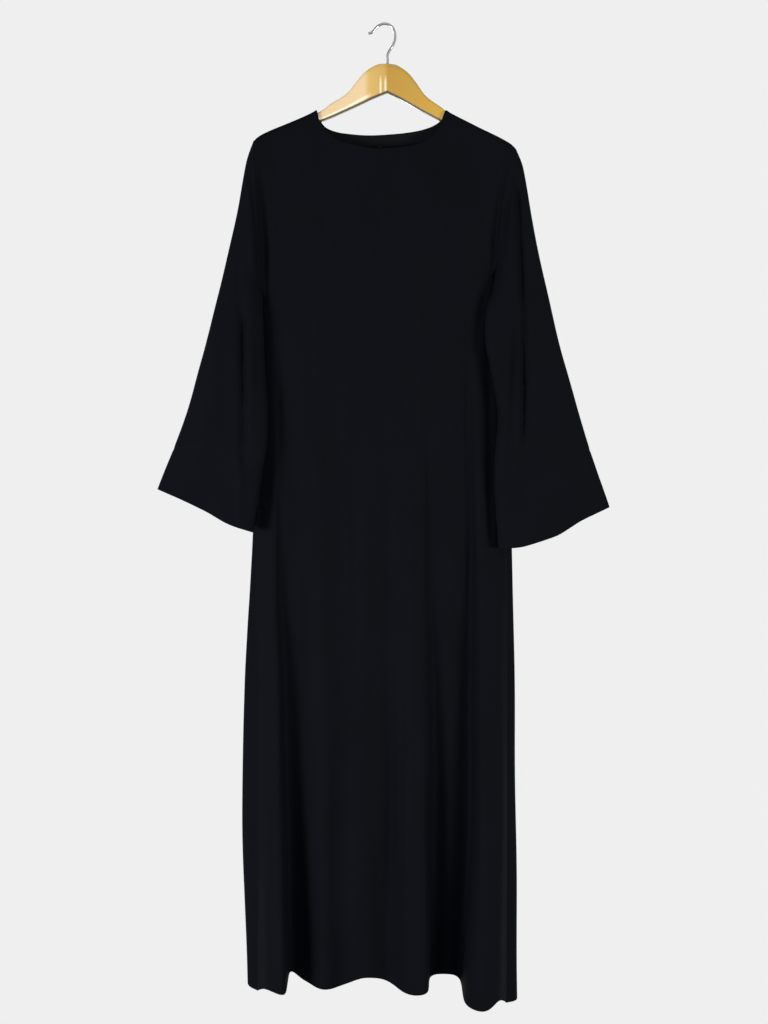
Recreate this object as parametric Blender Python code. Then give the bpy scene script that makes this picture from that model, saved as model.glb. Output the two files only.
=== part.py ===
"""Plain abaya cloak hanging on a wooden hanger with a wire hook.

The hanging point, the inside top of the hook, is the origin. Every size here is in millimetres and
becomes metres where a mesh is made. x runs to the viewer's right, y runs away from the viewer, and
"down" is the distance below the hanging point.
"""

import math

import bmesh
import bpy
import numpy as np

MM = 0.001

# Cloth
WALL = 1.5  # wall of the cloth
SEAM_GAP = 0.3  # between two pieces that are sewn together
FACING_WALL = 1.0

# Hanger
TILT = math.radians(1.8)  # the right end hangs lower
CENTRE = 6.0  # the wood's middle and the stem, beside the hanging point
WIRE = 4.0
ARM_REACH = 199.0  # from the wood's middle to the end of an arm
ARM_FORWARD = 22.0  # how far the arms curve towards the viewer at their ends
ARM_CURVE = 1.7
WOOD_HALF = 6.2  # half the wood's thickness
WOOD_CORNER = 2.2  # power of the rounded section

# Cloth over the arms and round the body
OVER_ARM = 9.5  # radius of the cloth's turn over an arm
NECK_LEFT, NECK_RIGHT = -109.0, 97.5
NECK_RAISE, NECK_RAISE_REACH = 2.2, 7.0  # the shoulder stands up at each neck corner
ARMHOLE_WIDEN = 6.0
CHEST_LEFT, CHEST_RIGHT = 434.0, 397.0  # how far down each underarm is
HIP, LOW = 821.0, 1230.0
CHEST_FRONT, CHEST_BACK = -22.0, 10.0  # the body's faces at the chest, in y
SEAM_CHEST = -6.0  # the side seams at the chest, in y
ROWS_CHEST, ROWS_SKIRT = 8, 12
SLEEVE_STEPS, CUFF_STEPS = 2, 3

# The shoulder seam, from the wood's middle outwards
SHOULDER = {
    "across": (0, 96, 116, 148, 180, 188, 196, 202, 208, 214),
    "down": (92, 135.8, 145, 161, 176.8, 181.2, 186.2, 191.5, 199.3, 209),
}
WOOD_TOP = {
    "across": (0, 12, 24, 36, 48, 60, 72, 84, 90, 96, 108, 124, 140, 156, 172, 188, 199),
    "down": (61.6, 62.7, 68.3, 77.8, 92.8, 109.3, 119.5, 127.2, 131.6)
    + (137.4, 144.8, 151.8, 159.8, 167.7, 175.6, 184.1, 192),
}
WOOD_UNDER = {
    "across": (0, 22, 42, 65, 86, 104, 150, 199),
    "down": (107, 116, 125.8, 137.3, 147.8, 156, 177, 200.5),
}
NECK_FRONT = {
    "across": (-107.8, -106.5, -105.2, -104, -86.4, -58, -8, 42.4, 70.7, 84, 91, 92.6, 94.2, 95.9),
    "down": (137.8, 140.4, 145, 152, 177, 191.4, 199.3, 194.6, 182, 164, 148.5, 143.8, 140, 137.6),
}
NECK_BACK = {
    "across": (-107.4, -105.8, -104, -102.5, -94, -83, -66, -25, 20, 51, 68, 80, 90, 92, 94, 95.6),
    "down": (138.2, 140.4, 144, 150, 161.5, 167, 171, 174.2, 171.6, 167.2, 162.5, 157, 148.5, 143.8, 140.4, 138),
}
ARMHOLE_LEFT = {
    "down": (245, 285, 345, 383, 411),
    "across": (-203.7, -201.7, -198.3, -196.7, -194.3),
}
ARMHOLE_RIGHT = {
    "down": (226, 252, 283, 318, 357, 380),
    "across": (197.4, 189.7, 184.4, 180.8, 179.5, 176.6),
}

# A row for each fold line that runs from the shoulders to the hem: its place across at five heights,
# its y at the hem, how far down the fold begins, how far down the hem is there, and how many columns
# of the mesh lie between it and the next line.
LINE = ("name", "top", "chest", "hip", "low", "hem", "y", "begins", "hem_down", "columns")
LEFT_SEAM = ("left seam", -205.9, -192.1, -201.6, -202, -201.2, -12, 640, 1521.9, 2)
RIGHT_SEAM = ("right seam", 205.1, 173, 192.1, 193, 191.6, -14, 600, 1540.4, 2)
FRONT = (
    LEFT_SEAM,
    ("ridge 1 left", -190, -186.5, -193.1, -186.8, -184, -52, 700, 1507.6, 2),
    ("ridge 1 right", -178, -177.1, -178.3, -172.8, -153.5, -74, 640, 1511.7, 3),
    ("valley 1 left", -163, -166.1, -166.7, -160.9, -149, -4, 400, 1490.5, 2),
    ("valley 1 right", -141, -145.7, -139.7, -134, -125.8, -12, 500, 1506.5, 2),
    ("ridge 2", NECK_LEFT, -111.3, -101.4, -98, -97.7, -46, 435, 1510.6, 4),
    ("beside ridge 2", -104, -103, -93, -90, -90, -38, 450, 1511.6, 2),
    ("valley 2", -69, -69, -65.7, -65.4, -65.7, -26, 560, 1508.8, 2),
    ("ridge 3", -35, -34.5, -32.8, -32.7, -31.2, -34, 620, 1495.3, 2),
    ("valley 3", -1, 1.6, 4.7, 3, 0, -18, 620, 1502.6, 2),
    ("ridge 4 left", 30, 36, 39, 35.7, 38.5, -56, 590, 1515.9, 2),
    ("ridge 4 right", 52, 54.8, 54.6, 60.6, 65.5, -62, 640, 1512.1, 3),
    ("valley 4", 72, 76.8, 78.5, 77, 71.5, -2, 500, 1501, 2),
    ("beside ridge 5", 91, 90, 92, 91.5, 89, -8, 600, 1497, 4),
    ("ridge 5", NECK_RIGHT, 97.1, 100.2, 101, 99, -14, 750, 1495.6, 2),
    ("valley 5", 122, 123.8, 127.3, 127.7, 117.6, -2, 435, 1504.3, 3),
    ("ridge 6 left", 143, 138.5, 139.2, 135, 123.6, -54, 480, 1529, 2),
    ("ridge 6", 163, 152, 154.4, 154, 152.7, -80, 520, 1534.7, 2),
    ("ridge 6 right", 187, 165, 179.7, 181, 175.1, -66, 600, 1520.1, 3),
    RIGHT_SEAM,
)
BACK = (
    (*LEFT_SEAM[:-1], 1),
    ("left side fold", -196, -182, -214.2, -229.8, -220, 6, 480, 1516, 2),
    ("back ridge 1", -183, -171, -190, -200, -196, 30, 650, 1494, 2),
    ("back valley 1", -163, -153, -163, -168, -170, 15, 560, 1490, 2),
    ("back ridge 2", -140, -132, -138, -139, -137, 29, 700, 1494, 2),
    ("back valley 2", NECK_LEFT, -106, -108, -108, -109, 17, 600, 1489, 4),
    ("beside valley 2", -102.5, -99, -101, -101, -102, 20, 640, 1489, 2),
    ("back ridge 3", -76, -72, -78, -80, -82, 28, 820, 1493, 2),
    ("back valley 3", -42, -40, -46, -49, -52, 16, 640, 1488, 2),
    ("back ridge 4", -6, -8, -10, -12, -14, 27, 900, 1492, 2),
    ("back valley 4", 28, 24, 24, 20, 18, 15, 560, 1487, 2),
    ("back ridge 5", 62, 56, 58, 56, 53, 30, 760, 1493, 2),
    ("beside valley 5", 90, 84, 84, 84, 82, 21, 640, 1490, 4),
    ("back valley 5", NECK_RIGHT, 90, 92, 92, 90, 18, 640, 1489, 2),
    ("back ridge 6", 124, 112, 122, 128, 126, 28, 700, 1493, 2),
    ("back valley 6", 150, 130, 146, 154, 157, 15, 540, 1490, 2),
    ("back ridge 7", 178, 148, 170, 185, 188, 29, 620, 1496, 2),
    ("right side fold", 194, 161, 204.4, 210, 212, 4, 480, 1541, 1),
    RIGHT_SEAM,
)

# A row for each section of a sleeve, from the armhole down: the places of its outer and inner folds,
# how far each lies towards the viewer, and half the sleeve's depth there. The last row but one is the
# cuff seam and the last is the cuff's edge. The three bows move the section's edge down at a quarter,
# a half and three quarters of the way across.
SECTION = (
    "outer",
    "outer_down",
    "inner",
    "inner_down",
    "outer_forward",
    "inner_forward",
    "half",
    "bow_1",
    "bow_2",
    "bow_3",
)
LEFT_SLEEVE = (
    (-216, 217, -195.5, 437, 22, 9, 10, 0, 0, 0),
    (-230.5, 297, -196.2, 442, 23, 14, 11, 0, 0, 0),
    (-246, 369, -194.5, 450, 24, 18, 12, 0, 0, 0),
    (-261.2, 433, -191, 464, 25, 22, 13, 0, 0, 0),
    (-276.3, 493, -189, 500, 26, 25, 14, 0, 0, 0),
    (-291, 546, -186.5, 555, 27, 28, 15, 0, 0, 0),
    (-304.5, 594.6, -182.5, 610, 27, 31, 16, 0, 0, 0),
    (-317, 635, -183.5, 655, 28, 33, 16, -4, -5, 1.5),
    (-330.6, 671.1, -190.1, 701, 28, 34, 16, -8.5, -10, 3.5),
    (-356.1, 733.5, -205.3, 801.5, 28, 36, 17, -1, 0, 4),
)
RIGHT_SLEEVE = (
    (215, 226, 175, 400, 22, 9, 10, 0, 0, 0),
    (230, 310, 174.5, 405, 23, 15, 11, 0, 0, 0),
    (246.7, 394, 172.5, 413, 24, 21, 11, 0, 0, 0),
    (261.7, 460, 167, 430, 25, 26, 12, 0, 0, 0),
    (275.2, 516.4, 158.5, 456, 26, 29, 13, 0, 0, 0),
    (286.2, 557, 156, 497, 27, 30, 14, 0, 0, 0),
    (297.7, 597, 164.5, 552, 27, 31, 15, 0, 0, 0),
    (309, 636, 176, 626, 28, 32, 16, 0, 1, 2),
    (320.1, 672.6, 170, 716.5, 28, 34, 16, 1, 3.5, 7),
    (350.6, 761.7, 175.8, 827, 28, 36, 17, 4, 13.5, 11.5),
)

# The hook's centre line in the hanger's own frame: across, down
HOOK = (
    (-25.9, 14.2),
    (-21, 12.8),
    (-17, 9.2),
    (-13.6, 4.6),
    (-7.9, 0.2),
    (0.4, -WIRE / 2),
    (8.8, 1),
    (14.7, 8.6),
    (16.8, 18.6),
    (14.2, 30.2),
    (8.8, 39.8),
    (5.4, 48),
    (CENTRE, 55),
)

CLOTH = dict(color=(0.0045, 0.0050, 0.0060), roughness=0.78, metallic=0.0)
INSIDE = dict(color=(0.0090, 0.0095, 0.0105), roughness=0.7, metallic=0.0)
WOOD = dict(color=(0.68, 0.40, 0.13), roughness=0.25, metallic=0.0)
CHROME = dict(color=(0.80, 0.80, 0.81), roughness=0.08, metallic=1.0)


def curve(at, stations, values):
    """Smooth values between stations, level at each crest and with no overshoot."""
    stations = np.asarray(stations, float)
    values = np.asarray(values, float)
    gap = np.diff(stations)
    rise = np.diff(values) / gap
    slope = np.zeros_like(values)
    slope[0], slope[-1] = rise[0], rise[-1]
    before, after = rise[:-1], rise[1:]
    same = before * after > 0
    slope[1:-1][same] = 2 / (1 / before[same] + 1 / after[same])
    at = np.clip(at, stations[0], stations[-1])
    i = np.clip(np.searchsorted(stations, at, side="right") - 1, 0, len(gap) - 1)
    t = (at - stations[i]) / gap[i]
    ends = values[i] * (2 * t**3 - 3 * t**2 + 1) + values[i + 1] * (3 * t**2 - 2 * t**3)
    return ends + gap[i] * (slope[i] * (t**3 - 2 * t**2 + t) + slope[i + 1] * (t**3 - t**2))


def ease(t):
    t = np.clip(t, 0, 1)
    return t * t * (3 - 2 * t)


def growth(t):
    """A fold's depth on its way down: nothing at first, then nearly even, and 1 at the hem."""
    t = np.clip(t, 0, 1)
    return 1.15 * t * t / (t + 0.15)


def rows_of(table, heading):
    return {key: [row[i] for row in table] for i, key in enumerate(heading)}


def hanger_to_world(across, down):
    """A place in the tilted hanger's own frame as (x, down)."""
    x = across * math.cos(TILT) - down * math.sin(TILT)
    return x, across * math.sin(TILT) + down * math.cos(TILT)


def arm_middle(across):
    """The y of an arm's middle, a distance across from the wood's middle."""
    return -ARM_FORWARD * (abs(across) / ARM_REACH) ** ARM_CURVE


def shoulder(x):
    """The shoulder seam at x: how far down it is, its y and its slope. It leaves out the neck."""
    across = np.linspace(-SHOULDER["across"][-1], SHOULDER["across"][-1], 425)
    down = curve(abs(across), SHOULDER["across"], SHOULDER["down"])
    world_x, world_down = hanger_to_world(CENTRE + across, down)
    for neck in (NECK_LEFT, NECK_RIGHT):
        world_down -= NECK_RAISE * np.exp(-abs(world_x - neck) / NECK_RAISE_REACH)
    y = arm_middle(across)
    necks = np.interp((NECK_LEFT, NECK_RIGHT), world_x, y)
    neck = (world_x > NECK_LEFT) & (world_x < NECK_RIGHT)
    y[neck] = np.interp(world_x[neck], (NECK_LEFT, NECK_RIGHT), necks)
    slope = np.gradient(world_down, world_x)
    return [np.interp(x, world_x, values) for values in (world_down, y, slope)]


def armhole_across(table, down, top, chest, top_down, chest_down):
    downs = (top_down, *table["down"], chest_down)
    return curve(down, downs, (top, *table["across"], chest))


def panel(table, side, neck):
    """A body panel's outer and inner faces as (rows, columns, 3). side is -1 in front and 1 behind."""
    lines = rows_of(table, LINE)
    index = np.arange(len(table))
    u = np.concatenate([i + np.arange(n) / n for i, n in zip(index[:-1], lines["columns"])])
    u = np.append(u, index[-1])
    at = {key: curve(u, index, lines[key]) for key in LINE[1:-1]}
    last = index[-1]
    chest_down = CHEST_LEFT + (CHEST_RIGHT - CHEST_LEFT) * u / last

    seam_down, seam_y, seam_slope = shoulder(at["top"])
    open_neck = (at["top"] > NECK_LEFT + 1e-6) & (at["top"] < NECK_RIGHT - 1e-6)
    edge_x = (NECK_LEFT, *neck["across"], NECK_RIGHT)
    ends = shoulder(np.array([NECK_LEFT, NECK_RIGHT]))[0]
    edge_down = curve(at["top"], edge_x, (ends[0], *neck["down"], ends[1]))
    top_down = np.where(open_neck, edge_down, seam_down)

    # How far down each row is: over the arm, on to the chest, then to the hem
    turn = OVER_ARM * (1 - np.cos(np.linspace(0, math.pi / 2, 5)))
    rows = [top_down + d for d in turn]
    rows += [
        rows[4] + (chest_down - rows[4]) * r / ROWS_CHEST for r in range(1, ROWS_CHEST + 1)
    ]
    rows += [
        chest_down + (at["hem_down"] - chest_down) * r / ROWS_SKIRT
        for r in range(1, ROWS_SKIRT + 1)
    ]
    down = np.array(rows)
    chest_row = 4 + ROWS_CHEST

    # Across
    share = np.clip((down - top_down) / (chest_down - top_down), 0, 1)
    x = at["top"] + (at["chest"] - at["top"]) * share
    left = (ARMHOLE_LEFT, at["top"][0], at["chest"][0], top_down[0], chest_down[0])
    right = (ARMHOLE_RIGHT, at["top"][-1], at["chest"][-1], top_down[-1], chest_down[-1])
    for (holes, top, chest, from_down, to_down), distance in ((left, u), (right, last - u)):
        straight = top + (chest - top) * np.clip((down - from_down) / (to_down - from_down), 0, 1)
        bent = armhole_across(holes, down, top, chest, from_down, to_down)
        x += (bent - straight) * np.clip(1 - distance / 3, 0, 1) ** 2
    for j in range(len(u)):
        stations = (chest_down[j], HIP, LOW, at["hem_down"][j])
        places = [at[key][j] for key in ("chest", "hip", "low", "hem")]
        x[chest_row:, j] = curve(down[chest_row:, j], stations, places)

    # Depth: over the arm, then the closed body, then the folds
    level = np.clip(1 - (down - seam_down) / OVER_ARM, 0, 1)
    turned = np.sqrt(1 - level**2)
    over = seam_y + side * np.maximum(OVER_ARM * turned, SEAM_GAP / 2)
    middle = (at["chest"][0] + at["chest"][-1]) / 2
    width = (at["chest"][-1] - at["chest"][0]) / 2
    closing = np.sqrt(np.clip(1 - abs((at["chest"] - middle) / width) ** 4, 0, 1))
    face = CHEST_FRONT if side < 0 else CHEST_BACK
    at_chest = SEAM_CHEST + side * SEAM_GAP / 2 + (face - SEAM_CHEST) * closing
    fall = np.clip((down - top_down - OVER_ARM) / (chest_down - top_down - OVER_ARM), 0, 1)
    y = over + (at_chest - over) * ease(fall)
    for j, distance in ((0, u), (len(u) - 1, last - u)):
        open_half = (OVER_ARM + ARMHOLE_WIDEN * ease(2 * fall[:, j])) * np.sqrt(1 - fall[:, j] ** 4)
        mid = seam_y[j] + (SEAM_CHEST - seam_y[j]) * ease(fall[:, j])
        edge = mid + side * np.maximum(open_half, SEAM_GAP / 2)
        edge = np.where(fall[:, j] > 0, edge, y[:, j])
        y += (edge - y[:, j])[:, None] * np.clip(1 - distance / 1.3, 0, 1) ** 2
    fold = at["y"] - np.where((u == 0) | (u == last), SEAM_CHEST, at_chest)
    y += fold * growth((down - at["begins"]) / (at["hem_down"] - at["begins"]))

    outer = np.stack([x, y, -down], axis=2)
    normal, corner = panel_normals(outer)
    if normal[chest_row, len(u) // 2, 1] * side < 0:
        normal = -normal
    over_normal = np.stack([seam_slope * level, side * turned, level], axis=2)
    on_arm = ease(2 - (down - seam_down) / OVER_ARM)[..., None]
    normal += (over_normal - normal) * on_arm
    corner += (1 - corner) * on_arm
    # The walls' edges face their neighbours squarely, so that the gap between pieces stays even
    normal[0, ~open_neck, 1] = 0
    for j, way in ((0, -1), (len(u) - 1, 1)):
        normal[:chest_row, j, 0] = 0
        normal[chest_row:, j] = (way, 0, 0)
    normal = unit(normal)
    return outer, outer - WALL * corner * normal, normal, at["top"]


def unit(vectors):
    return vectors / np.linalg.norm(vectors, axis=-1, keepdims=True)


def panel_normals(points):
    """Directions across a panel's wall, and how much longer each is where a fold has its corner."""
    along = np.gradient(points, axis=0)
    face = unit(np.cross(along[:, 1:] + along[:, :-1], np.diff(points, axis=1)))
    before = np.concatenate([face[:, :1], face], axis=1)
    after = np.concatenate([face, face[:, -1:]], axis=1)
    normal = unit(before + after)
    return normal, 1 / np.maximum(np.sum(normal * after, axis=2, keepdims=True), 0.5)


def armhole_ring(front, back, way):
    """The panels' armhole edges as one closed ring, moved out by the seam's gap."""
    column = 0 if way < 0 else -1
    last = 4 + ROWS_CHEST
    rings = []
    for face in (0, 1):
        fore, aft = front[face][: last + 1, column], back[face][: last + 1, column]
        top = (fore[0] + aft[0]) / 2
        low = (front[0][last, column] + back[0][last, column]) / 2 + (0, 0, 0.5 + face * WALL)
        rings.append(np.vstack([top, fore[1:last], low, aft[last - 1 : 0 : -1]]))
    return [ring + (way * SEAM_GAP, 0, 0) for ring in rings]


def sleeve_rings(table, start):
    """A sleeve's sections from the armhole to the cuff's edge, each a ring of points."""
    values = rows_of(table, SECTION)
    count = len(start) // 2
    top, low = start[0], start[count]
    first = {
        "outer": top[0],
        "outer_down": -top[2],
        "inner": low[0],
        "inner_down": -low[2],
        "outer_forward": -top[1],
        "inner_forward": -low[1],
        "half": OVER_ARM,
        "bow_1": 0,
        "bow_2": 0,
        "bow_3": 0,
    }
    stations = np.arange(len(table) + 1)
    at = np.arange((len(table) - 1) * SLEEVE_STEPS + 1) / SLEEVE_STEPS
    at = np.append(at, len(table) - 1 + np.arange(1, CUFF_STEPS + 1) / CUFF_STEPS)
    shape = {key: curve(at, stations, [first[key], *values[key]]) for key in SECTION}
    even = (1 - np.cos(math.pi * np.arange(count + 1) / count)) / 2
    edges = (start[: count + 1], np.vstack([start[count:], start[:1]])[::-1])
    rings = []
    for r, place in enumerate(at):
        part = {key: shape[key][r] for key in SECTION}
        later = ease(place / 4)
        layers = []
        for edge, side in zip(edges, (-1, 1)):
            opening = first["inner_down"] - first["outer_down"]
            begun = np.clip((-edge[:, 2] - first["outer_down"]) / opening, 0, 1)
            share = begun + (even - begun) * later
            bows = (0, part["bow_1"], part["bow_2"], part["bow_3"], 0)
            bow = curve(share, (0, 0.25, 0.5, 0.75, 1), bows)
            x = part["outer"] + (part["inner"] - part["outer"]) * share
            down = part["outer_down"] + (part["inner_down"] - part["outer_down"]) * share + bow
            straight = first["outer"] + (first["inner"] - first["outer"]) * begun
            x = x + (edge[:, 0] - straight) * (1 - later) ** 2
            mid = -part["outer_forward"] - (part["inner_forward"] - part["outer_forward"]) * share**2
            profile = np.sqrt(np.clip(1 - (2 * share - 1) ** 4, 0, 1))
            first_mid = top[1] + (low[1] - top[1]) * begun**2
            y = mid + side * part["half"] * profile
            y = y * later + (edge[:, 1] + mid - first_mid) * (1 - later)
            if place == 0:
                x, y, down = edge[:, 0], edge[:, 1], -edge[:, 2]
            layers.append(np.stack([x, y, -down], axis=1))
        rings.append(np.vstack([layers[0], layers[1][-2:0:-1]]))
    return np.array(rings)


def material(name, color, roughness, metallic):
    made = bpy.data.materials.new(name)
    made.use_nodes = True
    shader = made.node_tree.nodes["Principled BSDF"]
    shader.inputs["Base Color"].default_value = (*color, 1)
    shader.inputs["Roughness"].default_value = roughness
    shader.inputs["Metallic"].default_value = metallic
    return made


def finish(obj, look):
    obj.data.materials.append(look)
    bpy.context.collection.objects.link(obj)
    return obj


def mesh_object(name, points, faces, look):
    mesh = bpy.data.meshes.new(name)
    mesh.from_pydata([tuple(p) for p in np.asarray(points) * MM], [], faces)
    shell = bmesh.new()
    shell.from_mesh(mesh)
    bmesh.ops.recalc_face_normals(shell, faces=shell.faces)
    shell.to_mesh(mesh)
    shell.free()
    mesh.shade_smooth()
    mesh.set_sharp_from_angle(angle=math.radians(50))
    return finish(bpy.data.objects.new(name, mesh), look)


def cloth_wall(name, outer, inner, round_it, look):
    """A wall between two grids of points, closed along its edges."""
    rows, columns = outer.shape[:2]
    total = rows * columns

    def at(layer, r, c):
        return layer * total + r * columns + c % columns

    across = range(columns if round_it else columns - 1)
    faces = []
    for layer in (0, 1):
        for r in range(rows - 1):
            for c in across:
                quad = [at(layer, r, c), at(layer, r, c + 1), at(layer, r + 1, c + 1), at(layer, r + 1, c)]
                faces.append(quad)
    for c in across:
        for r in (0, rows - 1):
            faces.append([at(0, r, c), at(0, r, c + 1), at(1, r, c + 1), at(1, r, c)])
    if not round_it:
        for r in range(rows - 1):
            for c in (0, columns - 1):
                faces.append([at(0, r, c), at(0, r + 1, c), at(1, r + 1, c), at(1, r, c)])
    points = np.concatenate([outer.reshape(-1, 3), inner.reshape(-1, 3)])
    return mesh_object(name, points, faces, look)


def tube_wall(rings, first_inner):
    """The inner face of a sleeve, inside its outer rings."""
    chord = unit((rings[:, rings.shape[1] // 2] - rings[:, 0]) * (1, 0, 1))[:, None]
    along_chord = np.sum(rings * chord, axis=2)
    flat = np.stack([along_chord, rings[..., 1]], axis=2)
    edge = np.roll(flat, -1, axis=1) - flat
    after = unit(np.stack([-edge[..., 1], edge[..., 0]], axis=2))
    inward = unit(after + np.roll(after, 1, axis=1))
    corner = 1 / np.maximum(np.sum(inward * after, axis=2, keepdims=True), 0.5)
    in_plane = inward[..., :1] * chord + inward[..., 1:] * np.array((0, 1, 0))
    along = np.roll(rings, -1, axis=1) - np.roll(rings, 1, axis=1)
    normal = unit(np.cross(np.gradient(rings, axis=0), along))
    normal *= np.sign(np.sum(normal * in_plane, axis=2, keepdims=True))
    # A fold's corner moves in further, so that the wall keeps its thickness beside it
    inner = rings + WALL * corner * unit(in_plane + normal)
    inner[0] = first_inner
    return inner


def make_sleeve(side, table, front, back, way, look):
    outer_ring, inner_ring = armhole_ring(front, back, way)
    rings = sleeve_rings(table, outer_ring)
    inner = tube_wall(rings, inner_ring)
    seam = (len(table) - 1) * SLEEVE_STEPS
    cloth_wall(f"sleeve_{side}", rings[: seam + 1], inner[: seam + 1], True, look)
    cuff_outer, cuff_inner = rings[seam:].copy(), inner[seam:].copy()
    for face in (cuff_outer, cuff_inner):
        step = face[1] - face[0]
        face[0] += SEAM_GAP * 1.3 * step / np.linalg.norm(step, axis=1, keepdims=True)
    cloth_wall(f"cuff_{side}", cuff_outer, cuff_inner, True, look)


def make_facing(back, look):
    """The band inside the back neck edge, made from the back panel's inner points."""
    _, inner, normal, top = back
    inside = np.flatnonzero((top > NECK_LEFT + 9) & (top < NECK_RIGHT - 7))
    part = np.ix_(range(6), inside)
    outer = inner[part] - SEAM_GAP * normal[part]
    cloth_wall("neck_facing", outer, outer - FACING_WALL * normal[part], False, look)


def make_wood(tilted, look):
    """The hanger's arms: rounded sections along the curve of the wood."""
    across = [*WOOD_TOP["across"][:-2], 181, 188, 193, 197, ARM_REACH]
    across = np.array([-a for a in across[:0:-1]] + across, float)
    reach = abs(across)
    tops = curve(reach, WOOD_TOP["across"], WOOD_TOP["down"])
    under = curve(reach, WOOD_UNDER["across"], WOOD_UNDER["down"])
    end = np.sqrt(np.clip((ARM_REACH + 1.5 - reach) / 11.5, 0, 1))
    angle = np.linspace(0, 2 * math.pi, 16, endpoint=False)
    round_y = np.sign(np.cos(angle)) * abs(np.cos(angle)) ** (2 / WOOD_CORNER)
    round_z = np.sign(np.sin(angle)) * abs(np.sin(angle)) ** (2 / WOOD_CORNER)
    points = []
    for a, top, low, size in zip(across, tops, under, end):
        half = (low - top) / 2 * size
        y = arm_middle(a) + WOOD_HALF * size * round_y
        z = -(top + low) / 2 + half * round_z
        points += [(CENTRE + a, py, pz) for py, pz in zip(y, z)]
    n = len(angle)
    faces = [list(range(n)), list(range(len(points) - n, len(points)))]
    for s in range(len(across) - 1):
        faces += [
            [s * n + k, s * n + (k + 1) % n, (s + 1) * n + (k + 1) % n, (s + 1) * n + k]
            for k in range(n)
        ]
    mesh_object("hanger_wood", points, faces, look).parent = tilted


def make_hook(tilted, look):
    line = bpy.data.curves.new("hook", "CURVE")
    line.dimensions = "3D"
    line.bevel_depth = WIRE / 2 * MM
    line.bevel_resolution = 2
    line.use_fill_caps = True
    spline = line.splines.new("BEZIER")
    spline.resolution_u = 5
    places = (*HOOK, (CENTRE, WOOD_TOP["down"][0] - SEAM_GAP))
    spline.bezier_points.add(len(places) - 1)
    for point, (x, down) in zip(spline.bezier_points, places):
        point.co = (x * MM, 0, -down * MM)
        point.handle_left_type = point.handle_right_type = "AUTO"
    for point in (spline.bezier_points[0], spline.bezier_points[-1]):
        point.handle_left_type = point.handle_right_type = "VECTOR"
    finish(bpy.data.objects.new("hook", line), look).parent = tilted


def main():
    for obj in list(bpy.data.objects):
        bpy.data.objects.remove(obj, do_unlink=True)
    cloth = material("black_crepe", **CLOTH)
    inside = material("black_facing", **INSIDE)
    tilted = bpy.data.objects.new("hanger_tilt", None)
    tilted.rotation_euler = (0, TILT, 0)
    bpy.context.collection.objects.link(tilted)
    make_hook(tilted, material("chrome", **CHROME))
    make_wood(tilted, material("varnished_wood", **WOOD))
    front = panel(FRONT, -1, NECK_FRONT)
    back = panel(BACK, 1, NECK_BACK)
    cloth_wall("front_panel", front[0], front[1], False, cloth)
    cloth_wall("back_panel", back[0], back[1], False, cloth)
    make_facing(back, inside)
    make_sleeve("left", LEFT_SLEEVE, front, back, -1, cloth)
    make_sleeve("right", RIGHT_SLEEVE, front, back, 1, cloth)


main()
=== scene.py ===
import math

import bpy
import numpy as np
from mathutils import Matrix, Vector


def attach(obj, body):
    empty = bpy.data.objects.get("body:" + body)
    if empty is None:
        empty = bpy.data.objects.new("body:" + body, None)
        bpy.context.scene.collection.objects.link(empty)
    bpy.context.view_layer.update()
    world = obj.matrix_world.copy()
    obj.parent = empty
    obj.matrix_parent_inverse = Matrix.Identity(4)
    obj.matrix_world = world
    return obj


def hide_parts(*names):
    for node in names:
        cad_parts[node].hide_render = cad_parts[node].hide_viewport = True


# A plain black abaya that hangs by its shoulders on a varnished wooden hanger.
# The hanging point is the origin. Sizes in the tables are millimetres, and "down" is below that point.

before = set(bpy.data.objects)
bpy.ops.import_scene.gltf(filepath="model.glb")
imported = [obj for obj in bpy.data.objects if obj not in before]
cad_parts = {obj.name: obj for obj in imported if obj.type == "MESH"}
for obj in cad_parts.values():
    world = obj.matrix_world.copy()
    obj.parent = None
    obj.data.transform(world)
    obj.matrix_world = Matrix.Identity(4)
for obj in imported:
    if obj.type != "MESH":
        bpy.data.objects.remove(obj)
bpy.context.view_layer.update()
bpy.ops.object.select_all(action="DESELECT")
mm = 0.001

view = {
    "distance": 2.4,
    "across": -0.00158,
    "level": -0.7695,
    "height": 1.618,  # of the picture at the hanger's plane
    "sensor": 24,  # mm
    "lightsAim": (0, 0, -0.7),
    "walls": "#EFEFEF",
    "ends": "#77777A",  # the room's floor and ceiling, which the picture doesn't show
    "endsBetween": (0.4, 0.7),  # how steep a look begins to meet them, and meets nothing else
}

floorDisc = {"radius": 1.15, "middle": (0, -0.15, -1.95), "paint": ("#8B8A88", "#93928F")}

lights = {
    # name: place, size, power, colour
    "window_left": ((-2.1, -1.7, -1.2), 1.0, 82, "#F6F9FF"),
    "window_right": ((2.1, -1.7, -1.1), 0.9, 55, "#FFFDF8"),
    "ceiling": ((0.1, -0.7, 1.5), 1.4, 5, "#FFFFFF"),
    "behind": ((-1.3, 2.6, -0.2), 1.8, 50, "#FFFFFF"),
}


def linear(hexColour):
    parts = [int(hexColour[i : i + 2], 16) / 255 for i in (1, 3, 5)]
    return [c / 12.92 if c <= 0.04045 else ((c + 0.055) / 1.055) ** 2.4 for c in parts] + [1.0]


def addNode(tree, kind, inputs=None, **settings):
    node = tree.nodes.new(kind)
    for key, value in settings.items():
        setattr(node, key, value)
    for key, value in (inputs or {}).items():
        if isinstance(value, bpy.types.NodeSocket):
            tree.links.new(value, node.inputs[key])
        else:
            node.inputs[key].default_value = value
    return node


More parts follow.
